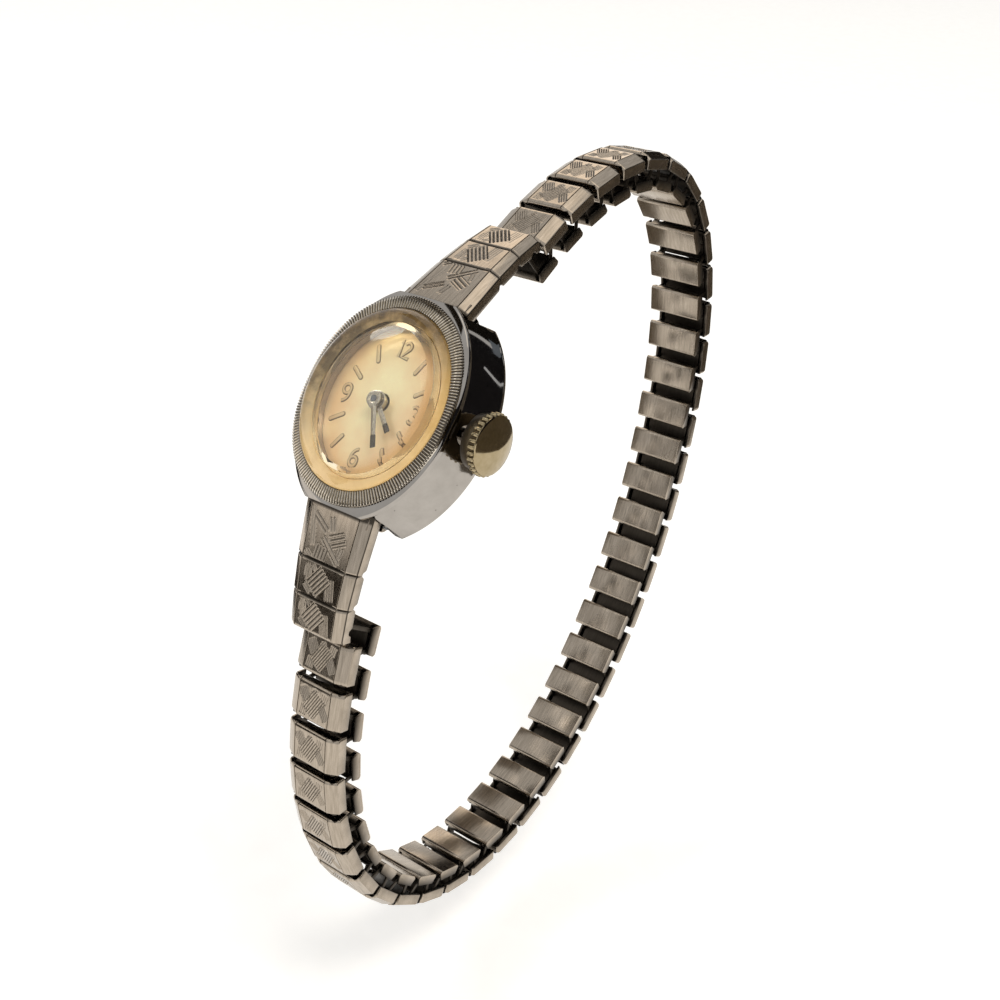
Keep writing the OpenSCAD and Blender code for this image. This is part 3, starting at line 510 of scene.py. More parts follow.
def flute_shape():
    """A ridge of unit length along x, low at its outer end, with a rounded crest."""
    cross = [(-0.092, -0.06), (-0.05, 0.035), (-0.016, 0.1), (0.016, 0.1), (0.05, 0.035), (0.092, -0.06)]
    stations = [(0.0, 0.9, 0.0), (0.08, 1.0, 0.02), (0.84, 1.0, 0.02), (1.0, 0.9, -0.08)]
    points = [[x, y * wide, z * wide + drop] for x, wide, drop in stations for y, z in cross]
    # Grime and painted shade in the flute's valleys: darker the lower a point lies
    deep = [max(0.0, 1 - (z + 0.06) / 0.17) for _, _, z in points]
    return new_piece("flute", points, rings_to_faces(len(stations), len(cross)), as_is, {"recess": deep}, 50)


def bezel_piece():
    profile = [(*between(BEZEL, GLASS + 0.03, t) - inset, RIM_Z + z) for t, z, inset in (
        (0, 0, 0), (0, 0.28, 0.02), (0, 0.34, 0.07), (0.5, 0.44, 0), (1, 0.5, 0), (1, 0, 0))]
    # The ring under the flutes gets grime and painted shade
    ring = turned_oval("bezel_ring", profile, True, values={"recess": [0, 0, 0.8, 1, 1, 1]})

    def onto_slope(p):
        x, y, z = p.T
        a = np.arctan2(y / BEZEL[1], x / BEZEL[0])
        inner, outer = (np.hypot(rx * np.cos(a), ry * np.sin(a)) for rx, ry in (GLASS, BEZEL))
        t = np.clip((outer - np.hypot(x, y)) / (outer - inner), 0, 1)
        return from_head(np.stack([x, y, z + RIM_Z + 0.37 + 0.16 * t], -1))

    return with_flutes("bezel_fluted", ring, flute_shape(), onto_slope, bezel_steel, BEZEL_FLUTES,
                       GLASS + 0.05, BEZEL - GLASS - 0.06)


dress(bezel_piece(), bezel_steel, "case", "bezel")

# Crystal: foot in the bezel, sloped bevel with rounded edges, a faintly domed top, hollow underneath


def crystal_piece():
    top, top_z, foot = GLASS - (0.95, 1.25), RIM_Z + GLASS_H, RIM_Z + BEZEL_H
    rings = [(0.3, 0.36, top_z - 0.6, 0), (2.4, 2.9, top_z - 0.61, 0), (*SIGHT - (0.9, 1), top_z - 0.66, 0),
             (*SIGHT - (0.45, 0.55), top_z - 0.76, 0.4), (*SIGHT - (0.12, 0.2), top_z - 1.05, 0.8),
             (*SIGHT - (0, 0.1), RIM_Z + 0.12, 1), (*SIGHT - (0, 0.1), RIM_Z, 1), (*GLASS, RIM_Z, 1),
             (*GLASS, foot - 0.08, 1), (*GLASS - 0.03, foot + 0.02, 1)]
    for t in np.arange(1, 11) / 10:
        height = between(foot + 0.05, top_z - 0.09, math.sin(t * math.pi / 2) ** 0.8)
        rings.append((*between(GLASS - 0.05, top, t ** 1.15), height, 1 - 0.8 * t))
    rings += [(*top - 0.12, top_z - 0.06, 0.1), (*top - 0.5, top_z - 0.04, 0), (2.4, 2.9, top_z - 0.012, 0),
              (0.3, 0.36, top_z, 0)]
    return turned_oval("crystal_acrylic", [r[:3] for r in rings], values={"wall": [r[3] for r in rings]}, smooth=24)


dress(crystal_piece(), new_material("yellowed_cast_acrylic", cast_acrylic), "case", "crystal")


def cement_piece():
    """Thin ring of old cement under and around the crystal's foot, seen through its bevel; it carries the bevel's
    painted light.
    """
    thick, low = 0.04, RIM_Z + 0.02
    inner, outer = SIGHT + (0.03, -0.07), GLASS - 0.02
    profile = [(*inner, low), (*outer, low), (*outer, low + 0.5), (*outer - thick, low + 0.5),
               (*outer - thick, low + thick), (*inner, low + thick)]
    return turned_oval("crystal_cement", profile, True)


dress(cement_piece(), new_material("crystal_cement_painted_light", old_cement), "case")

# Case back: flat satin face, rounded edge and the lip that snaps into the case


def back_piece():
    outer = CAVITY + (0.7, 0.3)
    profile = [(0.4, 0.5, 0.02), (*outer - (1.0, 1.1), 0), (*outer - 0.12, 0), (*outer, 0.1), (*outer, 0.4),
               (*outer + (0.22, 0), 0.44), (*outer + (0.3, 0), 0.52), (*outer + (0.3, 0), EDGE_Z)]
    profile += [(*CAVITY - inset, z) for inset, z in (
        (0.03, EDGE_Z), (0.06, EDGE_Z + 0.25), (0.37, EDGE_Z + 0.25), (0.4, 0.44), (0.5, 0.4))]
    return turned_oval("case_back_satin", profile + [(0.4, 0.5, 0.4)])


dress(back_piece(), back_steel, "case", "case_back")

# Dial with raised numerals at 12, 3, 6 and 9 and batons at the other hours
MARK_LOW, MARK_HIGH = DIAL_Z - 0.01, DIAL_Z + 0.07


def stroke(line, width=0.31):
    """Raised line along points x, y with sloped sides: points, faces and how far each point is on a side."""
    steps = np.diff(line, axis=0)
    steps /= np.linalg.norm(steps, axis=1)[:, None]
    run = np.concatenate([steps[:1], steps[:-1] + steps[1:], steps[-1:]])
    run /= np.linalg.norm(run, axis=1)[:, None]
    side = np.stack([run[:, 1], -run[:, 0]], -1)
    left = [(-width / 2, MARK_LOW, 1), (-width / 2 + 0.04, MARK_HIGH - 0.02, 1), (-width / 2 + 0.1, MARK_HIGH, 0.3)]
    cross = left + [(-off, z, edge) for off, z, edge in left[::-1]]
    points = [[*(p + s * off), z] for p, s in zip(line, side) for off, z, _ in cross]
    return points, rings_to_faces(len(line), len(cross)), [edge for _, _, edge in cross] * len(line)


def baton(x0, y0, x1, y1, width=0.4, n=12):
    """Raised capsule between two points, with sloped sides and a flat top."""
    length = math.hypot(x1 - x0, y1 - y0)
    c, s = (x1 - x0) / length, (y1 - y0) / length
    points, edges = [], []
    for inset, z, edge in ((0, MARK_LOW, 1), (0.04, MARK_HIGH - 0.02, 1), (0.1, MARK_HIGH, 0.3)):
        r = width / 2 - inset
        ends = np.concatenate([arc(length - width / 2, 0, r, -90, 90, n), arc(width / 2, 0, r, 90, 270, n)])
        points += [[x0 + x * c - y * s, y0 + x * s + y * c, z] for x, y in ends]
        edges += [edge] * len(ends)
    return points, rings_to_faces(3, 2 * n), edges


SIX = np.concatenate([arc(0.35, 0.05, 0.66, 110, 180, 10), arc(0.03, -0.28, 0.34, 165, 520, 28)])
# Centre lines of the numerals, about 1.4 mm high, round their own middles, and the places of these
NUMERALS = [((0, 4.1), [[[-0.44, 0.42], [-0.3, 0.64], [-0.3, -0.62]],
                        np.concatenate([arc(0.24, 0.3, 0.3, 165, -35, 18), [[-0.02, -0.56], [0.62, -0.58]]])]),
            ((3.2, -0.1), [arc(0, 0.3, 0.3, 150, -60, 16), arc(0, -0.28, 0.34, 75, -150, 18)]),
            ((-0.1, -4.3), [SIX]), ((-3.25, -0.1), [-SIX])]
# Outer and inner end of the baton at 1, 2, 4, 5, 7, 8, 10 and 11
BATONS = [(2.39, 3.97, 1.68, 2.57), (3.6, 1.89, 2.45, 1.13), (3.7, -2.39, 2.53, -1.51), (2.55, -4.25, 1.85, -2.95),
          (-2.55, -4.25, -1.85, -2.95), (-3.8, -2.39, -2.53, -1.51), (-3.65, 1.89, -2.45, 1.13),
          (-2.39, 3.97, -1.68, 2.57)]


def dial_piece():
    outer, base, hole, n = CAVITY - 0.1, DIAL_Z - DIAL_T, 0.72, 120
    profile = [(hole, hole, base), (*outer, base), (*outer, DIAL_Z - 0.04)]
    profile += [(*between(hole, outer - 0.06, t), DIAL_Z) for t in (1, 0.75, 0.5, 0.25, 0)]
    solids = [(oval_rings(profile, n), rings_to_faces(len(profile), n, True))]
    solids += [baton(*ends) for ends in BATONS]
    solids += [stroke(np.asarray(line) + centre) for centre, lines in NUMERALS for line in lines]
    # The two feet
    solids += [prism(arc(*outer * 0.8 * heading(a), 0.3, 0, 345), 3.4, base, 2) for a in (60, 240)]
    points, faces, edges = joined_solids(solids)
    across = np.clip(np.hypot(points[:, 0] + 0.4, (points[:, 1] - 1.4) * 0.6) / 4.2, 0, 1)
    return new_piece("dial_champagne", points, faces, values={"edge": edges, "across": across})


dress(dial_piece(), new_material("champagne_dial_lacquer", dial_lacquer), "case", "dial")

# Hands: batons with a raised spine and darker squared tips on tall round hubs


def hand_piece(name, length, z, angle, hub, bore, outer):
    """Hand that points along the angle, clockwise from 12. The value tip is 1 on its tip."""
    foot, top, half, n = 3.43, z + 0.12, 0.21, 64
    profile = [(bore, foot), (outer, foot), (outer, z - 0.02), (hub - 0.06, z - 0.02), (hub, z + 0.04),
               (hub, z + 0.1), (hub - 0.05, top), (bore + 0.08, top), (bore + 0.03, z + 0.09), (bore, z + 0.09)]
    tube = oval_rings([(r, r, height) for r, height in profile], n), rings_to_faces(len(profile), n, True)
    stations = [(0.3, 0.2, 0), (0.55, 0.2, 0), (length * 0.74, 0.19, 0), (length * 0.75, 0.19, 1),
                (length * 0.755, half, 1), (length - 0.03, half, 1), (length, half - 0.03, 1)]
    run = heading(90 - angle)
    side = np.array([run[1], -run[0]])
    blade = [[*(run * d + side * off), z + height] for d, wide, _ in stations
             for off, height in ((-wide, 0.0), (-wide, 0.04), (0.0, 0.12), (wide, 0.04), (wide, 0.0))]
    tips = np.repeat([tip for _, _, tip in stations], 5)
    points, faces, tip = joined_solids([tube, (blade, rings_to_faces(len(stations), 5), tips)])
    return new_piece(name, points, faces, values={"tip": tip})


for hand, *sizes in (("hour_hand", 2.75, DIAL_Z + 0.5, HOUR_ANGLE, 0.7, 0.45, 0.62),
                     ("minute_hand", 3.65, DIAL_Z + 0.87, MINUTE_ANGLE, 0.58, 0.25, 0.42)):
    dress(hand_piece(hand + "_baton", *sizes), hand_steel, hand, hand)

# Crown: a domed knob whose flutes are set round it by the same node tree


def crown_frame(points):
    """Points of the crown's frame, z along the stem away from the case, in the part's frame."""
    x, y, z = np.moveaxis(np.asarray(points, float), -1, 0)
    return from_head(np.stack([CROWN_X + z, y, STEM_Z - x], -1))


def knurl_shape():
    """Half-round ridge that stands out along x and runs along z over the outer part of the crown's side."""
    bow = [(-0.03, -0.17), (0.1, -0.14), (0.18, -0.08), (0.21, 0.0), (0.18, 0.08), (0.1, 0.14), (-0.03, 0.17)]
    stations = [(0.82, 0.6), (0.9, 1.0), (1.05, 1.0), (CROWN_T - 0.17, 1.0), (CROWN_T - 0.06, 0.5)]
    points = [[(x + 0.03) * size - 0.03, y * (0.8 + 0.2 * size), z] for z, size in stations for x, y in bow]
    # Grime and painted shade between the knurls: darker towards their foot
    deep = [max(0.0, 1 - (x + 0.03) / 0.16) for x, _, _ in points]
    return new_piece("knurl", points, rings_to_faces(len(stations), len(bow)), as_is, {"recess": deep}, 60)


def crown_piece():
    core, n = CROWN_R - 0.2, 96
    # Radius, height and grime with painted shade of each ring, darker towards the case
    rings = [(0.3, 0.0, 1), (core - 0.2, 0.0, 1), (core - 0.1, 0.08, 1), (core + 0.06, 0.7, 0.85),
             (core + 0.08, 0.8, 0.85), (core + 0.02, 0.9, 1), (core, CROWN_T - 0.14, 0.9),
             (core + 0.06, CROWN_T - 0.09, 0.3), (core + 0.06, CROWN_T - 0.02, 0)]
    rings += [((core + 0.03) * t, CROWN_T + CROWN_DOME * (1 - t * t), 0) for t in 1 - np.arange(14) / 14]
    knob = new_piece("knob", oval_rings([(r, r, z) for r, z, _ in rings], n), rings_to_faces(len(rings), n),
                     crown_frame, {"recess": np.repeat([shade_and_grime for _, _, shade_and_grime in rings], n)})
    return with_flutes("crown_gold_plated", knob, knurl_shape(), crown_frame, crown_gold, CROWN_FLUTES,
                       (core, core), (1.0, 1.0))


dress(crown_piece(), crown_gold, "crown", "crown")

# Engraving: each field of the band is scribed with groups of parallel V-shaped lines. A group has its middle,
# angle, length, width, pitch and depth. x lies across the band; y runs along it, on the end shells away from
# the head.
LINK_GROUPS = [(0.0, -0.05, 31, 2.0, 1.4, 0.2, 0.07), (-0.95, 0.55, -33, 1.2, 0.9, 0.18, 0.055),
               (1.0, -0.35, -33, 1.3, 0.7, 0.18, 0.055), (0.95, 0.75, 12, 0.8, 0.6, 0.18, 0.045),
               (-0.95, -0.75, 8, 0.9, 0.7, 0.18, 0.045), (0.0, 1.05, -60, 0.5, 0.6, 0.18, 0.045)]
PANEL_GROUPS = [(-0.15, 0.05, -38, 1.9, 1.5, 0.29, 0.085), (-1.25, -0.4, 5, 1.4, 0.6, 0.2, 0.03),
                (-0.75, -0.9, 40, 0.6, 0.5, 0.2, 0.035), (0.95, 0.3, 9, 1.7, 0.9, 0.22, 0.022),
                (-1.1, 0.75, 52, 0.9, 0.5, 0.22, 0.045)]
FIRST_GROUPS = [(-0.83, -0.55, 57, 1.45, 0.6, 0.27, 0.06), (0.05, -0.65, 17, 0.9, 0.55, 0.24, 0.045),
                (0.65, 0.15, -63, 1.25, 0.75, 0.28, 0.08), (-0.42, 1.3, -8, 1.1, 0.9, 0.25, 0.07),
                (0.3, 0.9, 51, 2.0, 0.35, 0.3, 0.055), (1.0, 0.8, -14, 0.75, 0.5, 0.22, 0.05),
                (-1.3, 1.5, 55, 0.7, 0.5, 0.2, 0.045), (-1.4, -0.2, 12, 2.4, 0.5, 0.2, 0.03)]


def engraved(x, y, groups):
    """Depth of the deepest line at each point."""
    depth = np.zeros(np.broadcast(x, y).shape)
    for cx, cy, angle, length, width, pitch, most in groups:
        c, s = heading(angle)
        along, across = (x - cx) * s + (y - cy) * c, (x - cx) * c - (y - cy) * s
        t = across / pitch
        line = np.clip(1.2 - 3.4 * np.abs(t - np.floor(t) - 0.5), 0, 1)
        ends = np.clip((length / 2 - np.abs(along)) / 0.12, 0, 1) * (np.abs(across) < width / 2)
        depth = np.maximum(depth, most * line * ends)
    return depth


def dip(x, centre, width, depth):
    """A V-shaped groove."""
    return depth * np.clip(1 - np.abs(x - centre) / width, 0, 1)


def engraved_channel(name, stations, section, place):
    """A closed channel drawn along its stations: section gives each one's ring of x, y, z and how dark each point is
    with grime and painted shade.
    """
    points, deep = zip(*map(section, stations))
    return new_piece(name, np.concatenate(points), rings_to_faces(len(points), len(points[0])), place,
                     {"recess": np.concatenate(deep)}, 38)


# Points of a channel's ring across its engraved field, and on its inner side, which come last
FIELD_POINTS, INNER_POINTS = 77, 6


def channel_ring(half, cut, inner_top, flank, drop, seam):
    """Ring of x, z and grime-and-shade value round a channel: engraved field, a line, a flank that slopes down by drop,
    a seam, the side. The dark values are grime and painted shade: in the cuts, on the line and on the seam, growing
    down the side and full along the inner side; seam sets the seam's share. cut(x) gives the engraving's depth, at the
    field's own points."""
    field, inner = half * flank, half - CAP_WALL
    top_x = np.linspace(-field, field, FIELD_POINTS)
    cuts = cut(top_x)
    slope = np.linspace(0, 1, 6)
    right_x = np.concatenate([[field + 0.045, field + 0.09], between(field + 0.12, half - 0.09, slope),
                              [half - 0.03, half, half, half, half, half - 0.04]])
    right_z = np.concatenate([[-0.09, -0.01], -drop * (0.75 * slope + 0.25 * slope ** 2),
                              [-drop - 0.03, -drop - 0.07, -drop - 0.13, -CAP_H * 0.65, -CAP_H + 0.05, -CAP_H]])
    # Painted shade grows down the side wall towards its foot
    right_d = np.array([1.0, 0.3] + [0.0] * 6 + [seam, seam, 0.05, 0.15, 0.35, 0.6])
    inner_x = np.array([inner, inner, inner - 0.15])
    inner_z = np.array([-CAP_H, inner_top - 0.15, inner_top])
    xs = np.concatenate([-right_x[::-1], top_x, right_x, inner_x, -inner_x[::-1]])
    zs = np.concatenate([right_z[::-1], -cuts, right_z, inner_z, inner_z[::-1]])
    return xs, zs, np.concatenate([right_d[::-1], np.clip(cuts / 0.09, 0, 1), right_d, [1] * INNER_POINTS])


def rolled(from_edge, reach=0.3, depth=0.19):
    """How far a rolled edge lies below the face beside it."""
    t = max(0.0, 1 - from_edge / reach)
    return depth * (1 - math.sqrt(1 - t * t))


# The solids of a link, in the link's own frame: y along the band, z outwards from its outer face
SLEEVE_HALF = LINK_W / 2 - CAP_WALL - 0.25


def cap_shape():
    """Engraved outer cap with both ends rolled."""
    half_w, half_l = LINK_W / 2, CAP_L / 2
    edge = half_l - np.array([0.0, 0.025, 0.075, 0.15, 0.22, 0.3])

    def section(y):
        fade = np.clip((half_l - 0.35 - abs(y)) / 0.05, 0, 1)
        xs, zs, ds = channel_ring(half_w, lambda x: engraved(x, y, LINK_GROUPS) * fade, -CAP_WALL, 0.6, 0.4, 0.15)
        low = rolled(half_l - abs(y))
        zs[:-INNER_POINTS] = np.maximum(zs[:-INNER_POINTS] - low, -CAP_H)
        xs[:-INNER_POINTS] *= 1 - low * 0.6 / half_w
        return np.stack([xs, np.full(len(xs), y), zs], -1), ds

    stations = np.concatenate([-edge, np.arange(-half_l + 0.36, half_l - 0.35, 0.042), edge[::-1]])
    return engraved_channel("a_cap", stations, section, as_is)


def sleeve(length, top, high):
    """Flattened tube, open at both sides, with rounded edges."""
    def ring(inset):
        r, y, z0, z1 = 0.24, length / 2 - inset, top - high + inset, top - inset
        corners = [(y - r, z1 - r, 0), (-y + r, z1 - r, 90), (-y + r, z0 + r, 180), (y - r, z0 + r, 270)]
        return np.concatenate([arc(cy, cz, r - inset * 0.6, a, a + 90, 5) for cy, cz, a in corners])

    rows = [np.insert(ring(inset), 0, x, 1) for inset, x in (
        (0, -SLEEVE_HALF), (0, SLEEVE_HALF), (0.12, SLEEVE_HALF), (0.12, -SLEEVE_HALF))]
    return np.concatenate(rows), rings_to_faces(4, len(rows[0]), True)


def leaf_spring(z, rise):
    x = np.linspace(0.1 - SLEEVE_HALF, SLEEVE_HALF - 0.1, 13)
    bow = z + rise * (1 - (x / x[-1]) ** 2)
    outline = np.concatenate([np.stack([x, bow], -1), np.stack([x[::-1], bow[::-1] - 0.05], -1)])
    return prism(outline, -0.8, 0.8, 1)


def inner_shape(name, solids):
    points, faces, _ = joined_solids(solids)
    # Painted shade: darker the higher a point lies inside the band, under the cap
    deep = np.clip((points[:, 2] + BAND_T - 0.2) / 0.25, 0.05, 0.95)
    return softened(new_piece(name, points, faces, as_is, {"recess": deep}), 0.02)


def cradle(half_l, base, r):
    """Flat line with both ends curved up, as y and z."""
    return np.concatenate([arc(r - half_l, base + r, r, 180, 270, 7), arc(half_l - r, base + r, r, 270, 360, 7)])


def top_sleeve_shape():
    top = -CAP_WALL - 0.03
    return inner_shape("b_top_sleeve", [sleeve(CAP_L - 0.25, top, 0.85), leaf_spring(top - 0.2, 0.06)])


def low_sleeve_shape():
    """Lower sleeve: a flattened tube in a strip with rolled ends, between two side cheeks."""
    half, half_l, base = LINK_W / 2 - 0.05, 1.2, -BAND_T
    strip = np.concatenate([cradle(half_l, base, 0.28), cradle(half_l - 0.12, base + 0.12, 0.16)[::-1]])
    cheek = np.concatenate([cradle(half_l - 0.01, base + 0.01, 0.27),
                            [[half_l - 0.2, base + 0.85], [0.2 - half_l, base + 0.85]]])
    return inner_shape("c_low_sleeve", [
        sleeve(2 * half_l - 0.04, base + 0.85, 0.83), prism(strip, -half, half),
        *[prism(cheek, x, x + 0.14) for x in (0.01 - half, half - 0.15)], leaf_spring(base + 0.18, 0.02)])


def bow_shape():
    """Two side strips of unit length along y with rounded ends, and the legs that go into the sleeves."""
    outline, solids = np.concatenate([arc(1.0, 0, 0.16, -90, 90, 9), arc(0.0, 0, 0.16, 90, 270, 9)]), []
    for side in (-1, 1):
        solids.append(prism(outline, *sorted((side * (SLEEVE_HALF + 0.05), side * (SLEEVE_HALF + 0.19)))))
        low, high = sorted((side * (SLEEVE_HALF + 0.15), side * (SLEEVE_HALF - 1.1)))
        solids += [block((low, y - 0.07, -0.15), (high, y + 0.07, 0.15)) for y in (0.0, 1.0)]
    return inner_shape("d_bow", solids)


# The egg-shaped loop that the band follows: its middle, half width and half length, how much its upper end
# narrows, its lean in degrees, and the angle at which the walk along it starts, in steps of one degree
LOOP_MIDDLE, LOOP_HALF, NARROWING, LEAN = (13.77, -15.21), (21.6, 33.15), 0.088, -34
LOOP_START, LOOP_STEPS = 170, 361


def loop_point(t):
    """The loop's point (y, z) at an angle."""
    c, s = heading(t)
    return LOOP_MIDDLE + turned([LOOP_HALF[0] * c * (1 - NARROWING * s), LOOP_HALF[1] * s], LEAN)


WALK = np.array([loop_point(LOOP_START - i) for i in range(LOOP_STEPS)])
REACHED = np.concatenate([[0], np.cumsum(np.linalg.norm(np.diff(WALK, axis=0), axis=1))])
# An end shell's fields as lengths and bends, how far its face goes on under the rim and lies above the lug, and
# how far each shell hangs down. Side 1 is the shell at 12 o'clock, side -1 the one at 6.
BENDS, TUCK, SHELL_RISE, DROOP = [(4.1, -3), (2.7, -7), (2.6, -12)], 0.3, 1.9, {1: 24.6, -1: 14.4}
# The direction from 6 to 12 o'clock, as y and z
HEAD_UP = heading(HEAD_TILT)
TIP = np.array([0, SHELL_RISE]) + sum(length * heading(bend) for length, bend in BENDS)


def walk_point(s):
    return loop_point(LOOP_START - np.interp(s, REACHED, np.arange(LOOP_STEPS)))


def nearest(p):
    return REACHED[np.argmin(np.linalg.norm(WALK - p, axis=1))]


def at_lug(side, p):
    """A point of an end shell's frame, first turned about the lug, in the part's y and z."""
    p = turned(p, -DROOP[side])
    return turned([side * (LUG_Y + p[0]), LUG_Z + p[1]], HEAD_TILT)


WALK_0 = nearest(at_lug(1, TIP)) + 0.3 + CAP_L / 2
WALK_1 = nearest(at_lug(-1, TIP)) - 0.3 - CAP_L / 2
PITCH = (WALK_1 - WALK_0) / (LINK_COUNT - 1)
# Heights of the bows' ends in the upper and lower sleeves
LEG_Z, LEG_LOW_Z = -(CAP_WALL + 0.45), -(BAND_T - 0.45)


def steepness(v):
    return math.degrees(math.atan2(v[1], v[0]))


def walk_turn(s):
    return steepness(walk_point(s + PITCH / 2) - walk_point(s - PITCH / 2))


def band_point(s, y, z):
    return walk_point(s) + turned([y, z], walk_turn(s))


def below_tip(d):
    return TIP - d * turned([0, 1], BENDS[-1][1])


def shell_leg(side):
    return at_lug(side, below_tip(-LEG_Z) + [-1.3, 0.05])


def link_anchors(i):
    """Where each solid of a link goes: which one, its point of (y, z), its turn in degrees and its stretch."""
    s = WALK_0 + (i - 1) * PITCH
    rows = [(kind, walk_point(s), walk_turn(s), 1.0) for kind in (0, 1)]
    # The lower sleeve after each link, and for the first link also the one before it
    groups = [(s - PITCH / 2, shell_leg(1), band_point(s, -0.2, LEG_Z))] if i == 1 else []
    after = band_point(s + PITCH, -0.2, LEG_Z) if i < LINK_COUNT else shell_leg(-1)
    groups.append((s + PITCH / 2, band_point(s, 0.75, LEG_Z), after))
    for low, start, end in groups:
        rows.append((2, walk_point(low), walk_turn(low), 1.0))
        for p, y in ((start, -0.72), (end, 0.72)):
            v = band_point(low, y, LEG_LOW_Z) - p
            rows.append((3, p, steepness(v), np.linalg.norm(v)))
    return rows


def link_tree():
    """Copies of a link's solids at its anchor points, each turned and stretched as its point says."""
    tree, node, given = new_tree("link_solids_at_points", {
        "Geometry": "Geometry", "Solids": "Collection", "Width": "Float", "Finish": "Material"})
    kind, turn, long = (node("GeometryNodeInputNamedAttribute", (name,), data_type=data)
                        for name, data in (("kind", "INT"), ("turn", "FLOAT"), ("long", "FLOAT")))
    set_at_points(node, given["Finish"], Points=given["Geometry"], Pick_Instance=True, Instance_Index=kind,
                  Instance=node("GeometryNodeCollectionInfo", (given["Solids"], True, True)),
                  Rotation=node("CombineXYZ", (turn,)), Scale=node("CombineXYZ", (given["Width"], long, 1.0)))
    return tree


def anchor_mesh(name, rows):
    kinds, places, turns, lengths = zip(*rows)
    mesh = bpy.data.meshes.new(name)
    mesh.from_pydata([[0, y * MM, z * MM] for y, z in places], [], [])
    for key, kind, values in (("kind", "INT", kinds), ("turn", "FLOAT", np.radians(turns)), ("long", "FLOAT", lengths)):
        mesh.attributes.new(key, kind, "POINT").data.foreach_set("value", list(values))
    return mesh


def links():
    # The collection gives its solids in the order of their names
    solids = bpy.data.collections.new("link_solids")
    for shape in (cap_shape(), top_sleeve_shape(), low_sleeve_shape(), bow_shape()):
        bpy.context.collection.objects.unlink(shape)
        solids.objects.link(shape)
    tree = link_tree()
    for i in range(1, LINK_COUNT + 1):
        name = f"link_{i:02d}"
        piece = grown(name + "_engraved", tree, {"Solids": solids, "Width": 1.0, "Finish": band_steel},
                      anchor_mesh(name, link_anchors(i)))
        dress(piece, band_steel, name, name)
    for shape in list(solids.objects):
        bpy.data.objects.remove(shape)
    bpy.data.collections.remove(solids)


links()

# End shells: three engraved fields between cross grooves, bent down a little more from field to field


def shell_track():
    """Stations along an end shell: distance, point of its outer face, bend and half width."""
    corners = [np.array([-TUCK, SHELL_RISE]), np.array([0.0, SHELL_RISE])]
    for length, bend in BENDS:
        corners.append(corners[-1] + length * heading(bend))
    widths, bends = [3.15, 3.15, 2.85, 2.65, 2.5], [0] + [bend for _, bend in BENDS]
    rows, start = [], 0.0
    for k in range(4):
        run = corners[k + 1] - corners[k]
        length = np.linalg.norm(run)
        n = max(2, int(length / 0.055))
        for t in np.arange(n + (k == 3)) / n:
            ease = between(bends[k], bends[min(k + 1, 3)], max(0, t - 0.9) * 5) if k else bends[k]
            rows.append((start + t * length, corners[k] + run * t, ease, between(widths[k], widths[k + 1], t)))
        start += length
    return rows


def shell_piece(side):
    rows = shell_track()
    total = rows[-1][0]
    grooves = [TUCK + BENDS[0][0], TUCK + BENDS[0][0] + BENDS[1][0]]
    # Start, end, engraving and the engraving's scale
    fields = [(0.15, grooves[0], FIRST_GROUPS, 1.2), (*grooves, PANEL_GROUPS, 1.0),
              (grooves[1], total, PANEL_GROUPS, 1.0)]

    def section(row):
        d, point, bend, half = row
        low, high, groups, scale = next(f for f in fields if d <= f[1] + 1e-9 or f[1] == total)
        fade = np.clip((min(d - low, high - d) - 0.17) / 0.06, 0, 1)

        def cut(x):
            reach = 0.45 + 0.55 * np.clip(1 - (x / (half * 0.7)) ** 4, 0, 1)
            lens = sum(dip(d, g, 0.16, 0.2) * reach for g in grooves)
            return engraved(x / scale, (d - (low + high) / 2) / scale, groups) * fade + lens

        xs, zs, ds = channel_ring(half, cut, -0.3, 0.7, 0.38, 0.9)
        outer = np.arange(len(xs)) < len(xs) - INNER_POINTS
        flank = (np.abs(xs) > half * 0.7 + 0.1) & outer
        groove = sum(dip(d, g, 0.13, 0.15) for g in grooves)
        zs = np.where(flank & (zs > -0.9), zs - groove, zs)
        ds = np.where(flank & (zs > -0.9), np.maximum(ds, groove / 0.12), ds)
        # Painted shadow, a dark line, fills the seam beside the case's rim
        past_rim = abs(at_lug(side, point) @ HEAD_UP) - CASE_END
        ds = np.where(outer & (zs > -0.5), np.maximum(ds, np.clip(1.3 - past_rim / 0.2, 0, 1)), ds)
        zs = np.where(outer, np.maximum(zs - rolled(total - d), -CAP_H), zs)
        # The skirt's lower edge has three notches
        notch = 0.28 * sum(math.exp(-((d - c) / 0.28) ** 4) for c in (4.3, 6.9, 8.9))
        zs = np.where(zs <= -CAP_H + 0.06, zs + notch, zs)
        c, s = heading(bend)
        return np.stack([xs, point[0] - s * zs, point[1] + c * zs], -1), ds

    def place(points):
        x, *yz = np.asarray(points, float).T
        return np.stack([x, *at_lug(side, yz)], -1)

    skin = engraved_channel("end_shell_skin", rows, section, place)
    web_top = SHELL_RISE - 0.25
    web = [[-0.28, 0.0], [0.7, 0.0], [0.7, web_top], [-0.28, web_top]]
    lip_top, lip_foot = below_tip(0.28), below_tip(CAP_H - 0.15)
    lip = [lip_top - [0.03, 0], lip_top - [0.25, 0], lip_foot - [0.25, 0], lip_foot - [0.03, 0]]
    # The root's pieces, which lie under the shell, get grime and painted shade at 0.4
    points, faces, shade_and_grime = joined_solids([(*prism(outline, -half, half), 0.4) for outline, half in (
        (arc(0, 0, 0.75, 0, 352, 40), 2.9), (web, 2.9), (lip, SLEEVE_HALF))])
    root = softened(new_piece("end_shell_root", points, faces, place, {"recess": shade_and_grime}), 0.03)
    name = "end_shell_12" if side == 1 else "end_shell_6"
    dress(merged(name + "_engraved", [skin, root]), band_steel, name, name)


shell_piece(1)
shell_piece(-1)

